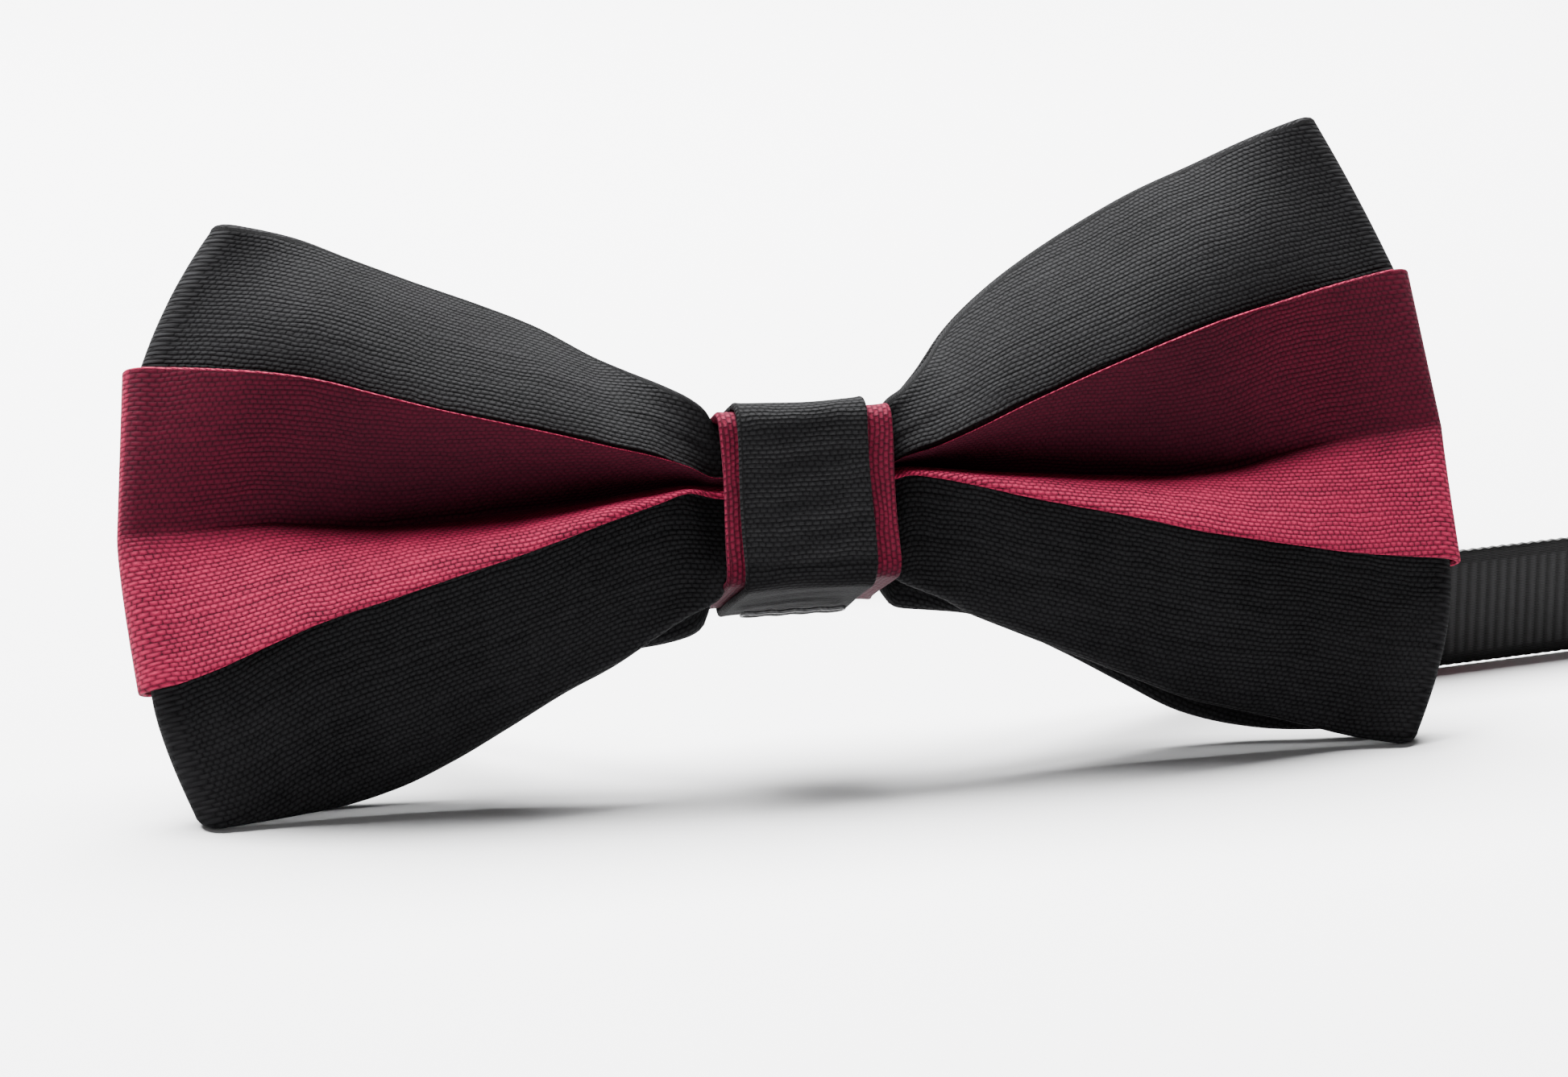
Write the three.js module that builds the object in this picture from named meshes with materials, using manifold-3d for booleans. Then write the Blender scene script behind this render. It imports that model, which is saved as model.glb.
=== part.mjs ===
// Pre-tied two-tone bow tie on an adjustable grosgrain neck band.
// Units are millimetres, +Z is up. The bow's front faces -Y and the bow leans back,
// standing on the lower outer corners of its wings and propped by its band.
import * as THREE from 'three';
import Module from 'manifold-3d';

// ---------- driving dimensions ----------
const LEAN = 26;             // backward lean of the bow, degrees
const SHELL_T = 1.6;         // folded black cloth, both plies with the interlining
const CAVITY_T = 1.0;        // pocket between the two plies
const LINING_T = 0.4;        // interlining
const ACCENT_IN = 1.1;       // accent band, inner face from the shell's mid surface
const ACCENT_OUT = 1.7;      // accent band, outer face
const EDGE = 0.8;            // folded edge beyond the outermost fibre
const FOLD_R = 1.3;          // outer fold of the loop, at the mid surface
const BOW_LIFT = 0.84;       // brings the wings' lower corners onto the surface
const KNOT_X = 0.5;          // middle of the knot
const KNOT_T = 23.6;         // height of the knot's middle up the leaning bow
const WRAP_W = 11.4, WRAP_T = 0.8;
const UNDER_W = 15.0, UNDER_T = 0.6;
const KNOT_FRONT = -8.4, KNOT_BACK = 6.8, KNOT_HALF = 8.2;
const GAP = 0.3;
const BAND_W = 11.0, BAND_T = 0.8;
const BAND_LIFT = 2.0;       // band's lower edge above the surface beside the clasp
const PLATE_T = 1.0, PLATE_H = 15.0, SLOT_Z0 = 1.6, SLOT_Z1 = 13.4;
const CLASP_Y = 62.05;       // plane of the hook and the eye
const OUTER_Y = 63.8, INNER_Y = 60.3;
const HOOK_BAR_X = 62.8, EYE_BAR_X = 108.7, SLIDE_X = 28.0;
const PLY_R = 1.75;          // band folded round a clasp bar, at mid thickness
const SEWN_R = 1.2;          // band folded round the adjuster's bar
const NECK_END_X = 43.0, HOOK_LEG_X = 58.0, SEWN_LEG_X = 36.0;

const rad = Math.PI / 180;

const WAIST_END = { L: 7.4, R: 8.4 };   // the gathered waist ends just outside the knot

// ---------- wing fibres: [distance from the middle, height, depth] ----------
const WAIST = {
  T: [29.4, -1.4], A: [25.4, -5.0], C: [23.8, -3.8], R: [22.2, -5.0], B: [21.0, -4.6], E: [17.8, -1.4],
};
const LEFT = {
  T: [[9.6, 33.6, -1.4], [12, 35.5, -1.2], [16, 37.8, -0.9], [20, 40.4, -0.6], [25, 42.8, -0.2], [30, 44.9, 0.1], [35, 47.1, 0.3], [40, 49.2, 0.4], [47.2, 50.9, 0.2]],
  A: [[9.6, 26.9, -6.2], [12, 27.4, -6.8], [16, 28.4, -7.4], [20, 29.5, -7.7], [25, 30.8, -7.9], [30, 32.2, -7.6], [35, 33.9, -6.9], [40, 35.7, -5.9], [45, 37.0, -4.7], [50, 38.0, -3.3], [55.5, 38.9, -0.8]],
  C: [[9.6, 25.2, -4.3], [12, 25.4, -4.2], [16, 25.5, -4.0], [20, 25.4, -3.4], [25, 25.0, -2.7], [30, 24.7, -2.1], [35, 24.4, -1.6], [40, 24.7, -1.2], [45, 25.0, -0.9], [50, 24.9, -0.7], [56.8, 24.8, -0.6]],
  R: [[9.6, 23.6, -6.1], [12, 23.6, -6.6], [16, 23.3, -7.3], [20, 23.2, -5.9], [25, 22.4, -5.7], [30, 21.9, -5.2], [35, 21.6, -4.4], [40, 21.5, -3.5], [45, 21.3, -2.6], [50, 20.8, -1.7], [56.8, 20.0, -0.8]],
  B: [[9.6, 22.5, -5.5], [12, 22.4, -5.9], [16, 21.6, -6.3], [20, 21.2, -7.8], [25, 19.7, -7.9], [30, 18.4, -7.6], [35, 17.1, -6.9], [40, 15.9, -5.9], [45, 14.4, -4.7], [50, 12.9, -3.3], [56.1, 11.6, -0.8]],
  E: [[9.6, 15.8, -1.4], [12, 14.1, -1.2], [16, 11.4, -0.9], [20, 9.6, -0.6], [25, 7.0, -0.2], [30, 4.5, 0.1], [35, 2.5, 0.3], [40, 1.3, 0.4], [45, 0.7, 0.4], [52.1, 0.0, 0.2]],
};
const RIGHT = {
  T: [[10.6, 32.2, -1.4], [13, 34.7, -1.2], [16, 38.1, -0.9], [20, 41.6, -0.6], [25, 45.0, -0.2], [30, 47.8, 0.2], [35, 50.2, 0.3], [40, 52.1, 0.4], [45, 53.9, 0.4], [52.9, 56.3, 0.2]],
  A: [[10.6, 27.0, -6.4], [13, 27.5, -6.9], [16, 28.2, -7.5], [20, 29.7, -7.8], [25, 31.6, -7.9], [30, 33.4, -7.7], [35, 35.2, -6.9], [40, 36.9, -5.8], [45, 38.3, -4.6], [50, 39.7, -3.1], [59.8, 42.0, -0.8]],
  C: [[10.6, 25.3, -4.4], [13, 25.5, -4.3], [16, 25.6, -4.0], [20, 25.4, -3.4], [25, 25.1, -2.7], [30, 24.7, -2.1], [35, 24.4, -1.6], [40, 24.8, -1.2], [45, 25.8, -0.9], [50, 26.6, -0.7], [61.3, 27.8, -0.6]],
  R: [[10.6, 23.6, -6.3], [13, 23.6, -6.7], [16, 23.4, -7.2], [20, 24.3, -5.8], [25, 23.8, -5.5], [30, 23.4, -5.0], [35, 23.1, -4.3], [40, 23.1, -3.5], [45, 23.3, -2.6], [50, 23.3, -1.8], [61.3, 23.0, -0.8]],
  B: [[10.6, 22.5, -5.6], [13, 22.4, -6.0], [16, 22.0, -6.3], [20, 22.3, -7.8], [25, 21.0, -7.9], [30, 19.8, -7.7], [35, 18.6, -6.9], [40, 17.8, -5.8], [45, 17.1, -4.6], [50, 16.5, -3.1], [61.4, 15.6, -0.8]],
  E: [[10.6, 16.5, -1.4], [13, 15.6, -1.2], [16, 13.9, -0.9], [20, 12.1, -0.6], [25, 9.9, -0.2], [30, 7.6, 0.1], [35, 5.4, 0.3], [40, 4.0, 0.4], [45, 2.6, 0.4], [50, 1.2, 0.4], [55.8, 0.0, 0.2]],
};
// back ply: lower edge height and depth of the whole ply
const BACK_E = {
  L: [[0, 17.8], [7.4, 17.8], [9.6, 14.4], [12, 13.4], [14, 13.2], [20, 11.2], [25, 8.9], [30, 6.4], [35, 4.4], [40, 2.9], [46, 2.2], [52.1, 2.0]],
  R: [[0, 17.8], [8.4, 17.8], [10.6, 15.6], [12.6, 15.0], [16, 14.5], [20, 13.0], [25, 10.6], [30, 7.8], [35, 5.1], [40, 3.7], [45, 2.7], [50, 2.2], [55.8, 2.0]],
};
const BACK_N = [[0, 2.0], [15, 2.0], [20, 2.9], [25, 3.8], [30, 4.4], [35, 4.6], [40, 4.4], [47, 3.7], [62, 3.5]];
const FRONT_END_N = 0.9;
// outer outline of each wing: fibre end point and the fold's direction, degrees above the wing's length
const END_DIR = { T: 38, U: 28, A: 12, C: 2, R: -2, B: -6, L: -16, E: -22 };
const END_MID = { L: { U: [51.8, 45.6], L: [54.8, 6.6] }, R: { U: [57.4, 48.6], L: [59.4, 8.6] } };
// stations along a wing, from the middle to the start of the outer fold
const STATIONS = { L: [0, 4, 7.4, 9.6, 12.5, 17, 23, 29.5, 36, 42, 48, 53], R: [0, 4, 8.4, 10.6, 13.5, 18, 23.5, 30, 36, 42, 48, 53] };
const SPANS = [['T', 'U', 1], ['U', 'A', 2], ['A', 'C', 2], ['C', 'R', 2], ['R', 'B', 1], ['B', 'L', 2], ['L', 'E', 1]];

// neck band: lower edge [x, y, z, lean], from the eye's side round to the adjuster
const BAND_PATH = [
  [113.5, 62.45, 2.0, 0], [118, 62.45, 2.0, 0], [126.5, 60.4, 1.6, 0], [132.4, 54.6, 1.0, 0], [134.6, 46.3, 0.4, 0], [132.6, 38.2, 0, 0], [126.8, 32.4, 0, 0],
  [118, 30.1, 0, 0], [108, 28.45, 0, 0], [96, 26.47, 0, 0], [84, 24.49, 0, 0], [72, 22.51, 0, 0], [64, 21.19, 0, 0], [58, 20.2, 0.1, 2],
  [51, 19.2, 0.9, 7], [44, 18.5, 2.6, 13], [36, 17.4, 5.6, 18], [28, 15.9, 9.2, 22], [20, 13.6, 12.4, 25], [15, 12.35, 14.2, 26],
];
const BAND_PATH_LEFT = [
  [-15, 12.4, 14.1, 26], [-20, 14.2, 11.9, 23], [-26, 17.8, 8.2, 16], [-32, 23.2, 4.2, 9], [-36.6, 30.6, 1.6, 3], [-38.6, 39, 0.4, 0],
  [-37.2, 48, 0.6, 0], [-32.2, 56, 1.2, 0], [-24, 61.6, 1.8, 0], [-15.5, 63.6, 2.0, 0], [-9, OUTER_Y, 2.0, 0],
];

// ---------- helpers ----------
function table(rows, x, c) {
  if (x <= rows[0][0]) return rows[0][c];
  for (let i = 1; i < rows.length; i++) {
    if (x <= rows[i][0]) {
      const k = (x - rows[i - 1][0]) / (rows[i][0] - rows[i - 1][0]);
      return rows[i - 1][c] + k * (rows[i][c] - rows[i - 1][c]);
    }
  }
  return rows[rows.length - 1][c];
}
const smooth = (a, b, x) => { const k = Math.min(1, Math.max(0, (x - a) / (b - a))); return k * k * (3 - 2 * k); };
const lerp = (a, b, k) => a + (b - a) * k;

// bow frame: u along the bow, n away from the front, t up the bow; the bow's group leans it back and lifts it
const inBow = (u, t, n) => new THREE.Vector3(u, n, t);
const toPart = (u, t, n) => new THREE.Vector3(u, n * Math.cos(LEAN * rad) + t * Math.sin(LEAN * rad), t * Math.cos(LEAN * rad) - n * Math.sin(LEAN * rad) + BOW_LIFT);

// surface point of a named fibre, as [height, depth] on the shell's mid surface
function frontFibre(side, name, x) {
  const tab = side === 'L' ? LEFT : RIGHT;
  const one = (k) => {
    const rows = [[0, ...WAIST[k]], [WAIST_END[side], ...WAIST[k]]].concat(tab[k]);
    const under = 'ACRB'.includes(k);
    const edge = k === 'T' ? -EDGE : k === 'E' ? EDGE : 0;
    return [table(rows, x, 1) + edge, table(rows, x, 2) + (under ? ACCENT_OUT : EDGE)];
  };
  if (name === 'U' || name === 'L') {
    const [p, q] = name === 'U' ? [one('T'), one('A')] : [one('B'), one('E')];
    const bulge = -0.9 * smooth(8, 20, x) * (1 - smooth(40, 56, x));
    return [(p[0] + q[0]) / 2, (p[1] + q[1]) / 2 + bulge];
  }
  return one(name);
}
function backFibre(side, name, x) {
  const top = frontFibre(side, 'T', x)[0];
  const low = table(BACK_E[side], x, 1) + EDGE;
  const k = { T: 0, U: 0.17, A: 0.36, C: 0.52, R: 0.6, B: 0.68, L: 0.84, E: 1 }[name];
  const pleat = { T: 0, U: 0.1, A: 0.3, C: -0.2, R: 0.2, B: 0.3, L: 0.1, E: 0 }[name] * smooth(16, 26, x) * (1 - smooth(40, 52, x));
  return [lerp(top, low, k), table(BACK_N, x, 1) + pleat];
}
function endPoint(side, name) {
  const tab = side === 'L' ? LEFT : RIGHT;
  if (END_MID[side][name]) return END_MID[side][name];
  const r = tab[name][tab[name].length - 1];
  return [r[0], r[1]];
}
// column names across the strip, with the share between two fibres
const COLS = [];
for (const [a, b, n] of SPANS) for (let i = 0; i < n; i++) COLS.push([a, b, i / n]);
COLS.push(['L', 'E', 1]);
const colAt = (f, c) => { const p = f(c[0]), q = f(c[1]); return p.map((v, i) => lerp(v, q[i], c[2])); };

// one wing's half section list, from the middle of the back ply round the fold to the middle of the front ply
function wing(side) {
  const sgn = side === 'L' ? -1 : 1;
  const ends = (name) => {
    const [s, t] = endPoint(side, name), d = END_DIR[name] * rad;
    const off = FOLD_R + ('ACRB'.includes(name) ? ACCENT_OUT : EDGE);
    return [s - Math.cos(d) * off, t - Math.sin(d) * off, Math.cos(d), Math.sin(d)];
  };
  const at = (kind, st) => COLS.map((c) => {
    const e = colAt(ends, c);
    const w = smooth(10.6, 44, st);
    const x = lerp(st, (st * e[0]) / 53, w);
    const f = colAt((n) => (kind === 'back' ? backFibre : frontFibre)(side, n, x), c);
    const m = smooth(34, 53, st);
    const et = e[1] + (kind === 'back' ? { E: 1.9, L: 1.0 }[c[2] > 0.5 ? c[1] : c[0]] || 0 : 0);
    const en = kind === 'back' ? FRONT_END_N + 2 * FOLD_R : FRONT_END_N;
    return [sgn * x, lerp(f[0], et, m * m), lerp(f[1], en, m)];
  });
  const rows = [];
  for (const st of STATIONS[side]) rows.push(at('back', st));
  const back = rows[rows.length - 1], front = at('front', 53);
  const FOLD_SEGS = 5;
  for (let k = 1; k < FOLD_SEGS; k++) {
    const a = (k / FOLD_SEGS) * Math.PI;
    rows.push(COLS.map((c, j) => {
      const e = colAt(ends, c), h = (1 - Math.cos(a)) / 2;
      return [lerp(back[j][0], front[j][0], h) + sgn * e[2] * FOLD_R * Math.sin(a), lerp(back[j][1], front[j][1], h) + e[3] * FOLD_R * Math.sin(a), lerp(back[j][2], front[j][2], h)];
    }));
  }
  for (const st of [...STATIONS[side]].reverse()) rows.push(at('front', st));
  return rows;
}
function loopGrid() {
  const r = wing('R'), l = wing('L').reverse();
  r[0] = r[0].map((p) => [0.45, p[1], p[2]]);
  l[l.length - 1] = l[l.length - 1].map((p) => [-0.45, p[1], p[2]]);
  const rows = r.concat(l.slice(1));
  return rows.map((row) => row.map(([u, t, n]) => inBow(u, t, n)));
}
// outward normals, mitred across the strip
function gridNormals(G) {
  const N = G.length, M = G[0].length;
  return G.map((row, i) => row.map((p, j) => {
    const a = G[Math.max(0, i - 1)][j], b = G[Math.min(N - 1, i + 1)][j];
    const du = b.clone().sub(a);
    const seg = [];
    if (j > 0) seg.push(row[j].clone().sub(row[j - 1]));
    if (j < M - 1) seg.push(row[j + 1].clone().sub(row[j]));
    const ns = seg.map((d) => du.clone().cross(d).normalize());
    if (ns.length === 1) return ns[0];
    const s = ns[0].clone().add(ns[1]);
    const k = Math.max(0.45, 1 + ns[0].dot(ns[1]));
    return s.multiplyScalar(1 / k);
  }));
}
function edgePush(G, i, j, amount) {
  const M = G[0].length, row = G[i];
  if (j === 0) return row[0].clone().sub(row[1]).normalize().multiplyScalar(amount);
  if (j === M - 1) return row[M - 1].clone().sub(row[M - 2]).normalize().multiplyScalar(amount);
  return new THREE.Vector3();
}
// ring of points round the strip's section at row i
function section(G, N, i, lo, hi, push) {
  const out = [], M = G[0].length;
  for (let j = 0; j < M; j++) out.push(G[i][j].clone().addScaledVector(N[i][j], hi).add(edgePush(G, i, j, push)));
  for (let j = M - 1; j >= 0; j--) out.push(G[i][j].clone().addScaledVector(N[i][j], lo).add(edgePush(G, i, j, push)));
  return out;
}
function meshFrom(pos, idx) {
  const g = new THREE.BufferGeometry();
  g.setAttribute('position', new THREE.Float32BufferAttribute(pos.flatMap((p) => [p.x, p.y, p.z]), 3));
  g.setIndex(idx);
  g.computeVertexNormals();
  return g;
}
// solid tube along rings; caps closed with a strip across the ring, or joined to an inner tube
function ringSolid(rings) {
  const pos = rings.flat(), n = rings[0].length, idx = [];
  for (let i = 0; i + 1 < rings.length; i++) for (let j = 0; j < n; j++) {
    const a = i * n + j, b = i * n + ((j + 1) % n), c = a + n, d = b + n;
    if (j < n / 2) idx.push(a, c, d, a, d, b); else idx.push(a, c, b, b, c, d);
  }
  const cap = (o, flip) => {
    for (let j = 0; j < n / 2 - 1; j++) {
      const a = o + j, b = o + j + 1, c = o + n - 2 - j, d = o + n - 1 - j;
      if (flip) idx.push(a, c, b, a, d, c); else idx.push(a, b, c, a, c, d);
    }
  };
  cap(0, false); cap((rings.length - 1) * n, true);
  return meshFrom(pos, idx);
}
function hollowSolid(outer, inner) {
  const n = outer[0].length, R = outer.length, pos = outer.flat().concat(inner.flat()), idx = [], q = R * n;
  for (let i = 0; i + 1 < R; i++) for (let j = 0; j < n; j++) {
    const a = i * n + j, b = i * n + ((j + 1) % n), c = a + n, d = b + n;
    if (j < n / 2) idx.push(a, c, d, a, d, b, q + a, q + d, q + c, q + a, q + b, q + d);
    else idx.push(a, c, b, b, c, d, q + a, q + b, q + c, q + b, q + d, q + c);
  }
  const e = (R - 1) * n;
  for (let j = 0; j < n; j++) {
    const k = (j + 1) % n;
    idx.push(j, k, q + k, j, q + k, q + j);
    idx.push(e + j, q + e + k, e + k, e + j, q + e + j, q + e + k);
  }
  return meshFrom(pos, idx);
}
// flat band swept along its lower edge
function sweepBand(pts) {
  const rings = pts.map((p, i) => {
    const a = pts[Math.max(0, i - 1)], b = pts[Math.min(pts.length - 1, i + 1)];
    const tan = new THREE.Vector3(b[0] - a[0], b[1] - a[1], b[2] - a[2]).normalize();
    const up = new THREE.Vector3(0, Math.sin(p[3] * rad), Math.cos(p[3] * rad));
    const side = tan.clone().cross(up).normalize();
    const o = new THREE.Vector3(p[0], p[1], p[2]), h = BAND_T / 2;
    const top = o.clone().addScaledVector(up, BAND_W);
    return [o.clone().addScaledVector(side, h), top.clone().addScaledVector(side, h), top.clone().addScaledVector(side, -h), o.clone().addScaledVector(side, -h)];
  });
  return ringSolid(rings);
}
function smoothPath(rows, step) {
  const c = new THREE.CatmullRomCurve3(rows.map((r) => new THREE.Vector3(r[0], r[1], r[2])), false, 'centripetal');
  const l = new THREE.CatmullRomCurve3(rows.map((r) => new THREE.Vector3(r[3], 0, 0)), false, 'catmullrom', 0);
  const out = [];
  for (let i = 0; i + 1 < rows.length; i++) {
    for (let k = 0; k < step; k++) {
      const t = (i + k / step) / (rows.length - 1), p = c.getPoint(t);
      out.push([p.x, p.y, Math.max(0, p.z), lerp(rows[i][3], rows[i + 1][3], k / step)]);
    }
  }
  out.push(rows[rows.length - 1].slice());
  return out;
}
const arc = (cx, cy, r, a0, a1, n, z) => Array.from({ length: n + 1 }, (_, i) => { const a = (a0 + (a1 - a0) * (i / n)) * rad; return [cx + r * Math.cos(a), cy + r * Math.sin(a), z, 0]; });
// closed thread lying on a surface
function thread(points, r, segs) {
  const c = new THREE.CatmullRomCurve3(points, true, 'centripetal');
  return new THREE.TubeGeometry(c, segs, r, 5, true);
}
// ring in the bow's depth/height plane, with rounded corners
function knotRing(halfW, n0, n1, half, thick, rf, rb) {
  const box = (g, inset, hole) => {
    const x0 = n0 + inset, x1 = n1 - inset, h = half - inset, a = Math.max(0.5, rf - inset), b = Math.max(0.5, rb - inset);
    g.moveTo(x0 + a, -h); g.lineTo(x1 - b, -h); g.absarc(x1 - b, -h + b, b, -Math.PI / 2, 0, false);
    g.lineTo(x1, h - b); g.absarc(x1 - b, h - b, b, 0, Math.PI / 2, false);
    g.lineTo(x0 + a, h); g.absarc(x0 + a, h - a, a, Math.PI / 2, Math.PI, false);
    g.lineTo(x0, -h + a); g.absarc(x0 + a, -h + a, a, Math.PI, Math.PI * 1.5, false);
  };
  const s = new THREE.Shape(); box(s, 0);
  const h = new THREE.Path(); box(h, thick); s.holes.push(h);
  const g = new THREE.ExtrudeGeometry(s, { depth: 2 * halfW, bevelEnabled: false, curveSegments: 5 });
  // shape x is depth, shape y is height, extrusion runs along the bow
  g.applyMatrix4(new THREE.Matrix4().makeBasis(new THREE.Vector3(0, 1, 0), new THREE.Vector3(0, 0, 1), new THREE.Vector3(1, 0, 0)));
  g.translate(-halfW, 0, 0);
  return g;
}
// metal plate in the XZ plane with rectangular slots
function plate(x0, x1, z0, z1, y0, y1, r, slots) {
  const s = new THREE.Shape();
  s.moveTo(x0 + r, z0); s.lineTo(x1 - r, z0); s.absarc(x1 - r, z0 + r, r, -Math.PI / 2, 0, false);
  s.lineTo(x1, z1 - r); s.absarc(x1 - r, z1 - r, r, 0, Math.PI / 2, false);
  s.lineTo(x0 + r, z1); s.absarc(x0 + r, z1 - r, r, Math.PI / 2, Math.PI, false);
  s.lineTo(x0, z0 + r); s.absarc(x0 + r, z0 + r, r, Math.PI, Math.PI * 1.5, false);
  for (const [a, b, c, d] of slots) {
    const h = new THREE.Path();
    h.moveTo(a, c); h.lineTo(a, d); h.lineTo(b, d); h.lineTo(b, c); h.lineTo(a, c);
    s.holes.push(h);
  }
  const g = new THREE.ExtrudeGeometry(s, { depth: y1 - y0, bevelEnabled: false, curveSegments: 5 });
  g.rotateX(Math.PI / 2);
  g.translate(0, y1, 0);
  return g;
}
const block = (x0, x1, y0, y1, z0, z1) => new THREE.BoxGeometry(x1 - x0, y1 - y0, z1 - z0).translate((x0 + x1) / 2, (y0 + y1) / 2, (z0 + z1) / 2);

const wasm = await Module();
wasm.setup();
const { Manifold, Mesh } = wasm;
function solid(g) {
  const src = g.index ? g.toNonIndexed() : g, p = src.getAttribute('position'), seen = new Map(), verts = [], tris = [];
  for (let i = 0; i < p.count; i++) {
    const v = [p.getX(i), p.getY(i), p.getZ(i)], key = v.map((c) => Math.round(c * 1e4)).join(',');
    if (!seen.has(key)) { seen.set(key, verts.length / 3); verts.push(...v); }
    tris.push(seen.get(key));
  }
  return new Manifold(new Mesh({ numProp: 3, vertProperties: new Float32Array(verts), triVerts: new Uint32Array(tris) }));
}
function union(...gs) {
  const m = Manifold.union(gs.map(solid)).getMesh();
  const g = new THREE.BufferGeometry(), pos = [];
  for (let i = 0; i < m.vertProperties.length / m.numProp; i++) pos.push(m.vertProperties[i * m.numProp], m.vertProperties[i * m.numProp + 1], m.vertProperties[i * m.numProp + 2]);
  g.setAttribute('position', new THREE.Float32BufferAttribute(pos, 3));
  g.setIndex(Array.from(m.triVerts));
  g.computeVertexNormals();
  return g;
}

// ---------- materials ----------
const BLACK_CLOTH = [0x1e1e20, 0.92, 0], BURGUNDY = [0x7c1a33, 0.88, 0], LINING = [0xe8e4da, 0.95, 0], RIBBON = [0x18181a, 0.78, 0], THREAD = [0x141416, 0.7, 0], NICKEL = [0xc9c7c2, 0.28, 1];
const root = new THREE.Group();
const bow = new THREE.Group();
bow.position.set(0, 0, BOW_LIFT);
bow.rotation.x = -LEAN * rad;
const knot = new THREE.Group();
knot.position.set(KNOT_X, 0, KNOT_T);
bow.add(knot);
const band = new THREE.Group();
const assembly = new THREE.Group();
assembly.add(bow, band);
root.add(assembly);
function add(parent, name, geometry, [color, roughness, metalness], at = [0, 0, 0]) {
  const m = new THREE.Mesh(geometry.translate(-at[0], -at[1], -at[2]), new THREE.MeshStandardMaterial({ color, roughness, metalness }));
  m.name = name;
  m.position.set(...at);
  parent.add(m);
  return m;
}

// ---------- bow ----------
const G = loopGrid(), NRM = gridNormals(G);
const rowsOf = (lo, hi, push, a = 0, b = G.length) => G.map((_, i) => section(G, NRM, i, lo, hi, push)).slice(a, b);
add(bow, 'bow_shell', hollowSolid(rowsOf(-SHELL_T / 2, SHELL_T / 2, EDGE), rowsOf(-CAVITY_T / 2, CAVITY_T / 2, 0)), BLACK_CLOTH);
add(bow, 'bow_interlining', ringSolid(rowsOf(-LINING_T / 2, LINING_T / 2, -0.35)), LINING);
const j0 = COLS.findIndex((c) => c[0] === 'A' && c[2] === 0), j1 = COLS.findIndex((c) => c[0] === 'B' && c[2] === 0);
const accent = G.map((row, i) => {
  const out = [];
  for (let j = j0; j <= j1; j++) out.push(row[j].clone().addScaledVector(NRM[i][j], ACCENT_OUT));
  for (let j = j1; j >= j0; j--) out.push(row[j].clone().addScaledVector(NRM[i][j], ACCENT_IN));
  return out;
});
add(bow, 'accent_band', ringSolid(accent), BURGUNDY);

// ---------- knot ----------
const inset = WRAP_T + GAP;
add(knot, 'knot_wrap', knotRing(WRAP_W / 2, KNOT_FRONT, KNOT_BACK, KNOT_HALF, WRAP_T, 2.4, 1.6), BLACK_CLOTH);
add(knot, 'knot_underwrap', knotRing(UNDER_W / 2, KNOT_FRONT + inset, KNOT_BACK - inset, KNOT_HALF - inset, UNDER_T, 1.5, 1.0), BURGUNDY);
const seam = [];
for (let i = 0; i <= 8; i++) seam.push(inBow(-4.4 + i * 1.1, -KNOT_HALF - 0.5, 1.4 + (i % 2) * 0.5));
for (let i = 8; i >= 0; i--) seam.push(inBow(-4.4 + i * 1.1, -KNOT_HALF - 0.5, 2.7 + (i % 2) * 0.5));
add(knot, 'knot_seam_stitches', thread(seam, 0.18, 54), THREAD);

// ---------- neck band ----------
const z2 = BAND_LIFT;
const knotRun = (x) => { const p = toPart(x, 18.1, 4.4); return [x, p.y, p.z, LEAN]; };
const eyeFold = [
  [118, 61.35, z2, 0], [113.5, 61.35, z2, 0], [110.6, 60.45, z2, 0],
  ...arc(EYE_BAR_X, CLASP_Y, PLY_R, -90, -270, 8, z2), [110.6, 63.62, z2, 0],
];
const bandRows = BAND_PATH.concat([knotRun(11.5), knotRun(8), knotRun(-7.5), knotRun(-11)], BAND_PATH_LEFT);
const bandPts = eyeFold.concat(smoothPath(bandRows, 2), [[NECK_END_X, OUTER_Y, z2, 0]]);
add(band, 'neck_ribbon', sweepBand(bandPts), RIBBON);
add(band, 'ribbon_outer_ply', sweepBand([[NECK_END_X + GAP, OUTER_Y, z2, 0], [HOOK_LEG_X - GAP, OUTER_Y, z2, 0]]), RIBBON);
add(band, 'ribbon_hook_fold', sweepBand([[HOOK_LEG_X, OUTER_Y, z2, 0], ...arc(HOOK_BAR_X, CLASP_Y, PLY_R, 90, -90, 8, z2), [HOOK_LEG_X, INNER_Y, z2, 0]]), RIBBON);
add(band, 'ribbon_inner_ply', sweepBand([[HOOK_LEG_X - GAP, INNER_Y, z2, 0], [SEWN_LEG_X + GAP, INNER_Y, z2, 0]]), RIBBON);
add(band, 'ribbon_sewn_end', sweepBand([[SEWN_LEG_X, INNER_Y, z2, 0], ...arc(SLIDE_X, INNER_Y + SEWN_R, SEWN_R, -90, -270, 8, z2), [SEWN_LEG_X - 0.5, INNER_Y + 2 * SEWN_R, z2, 0]]), RIBBON);

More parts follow.
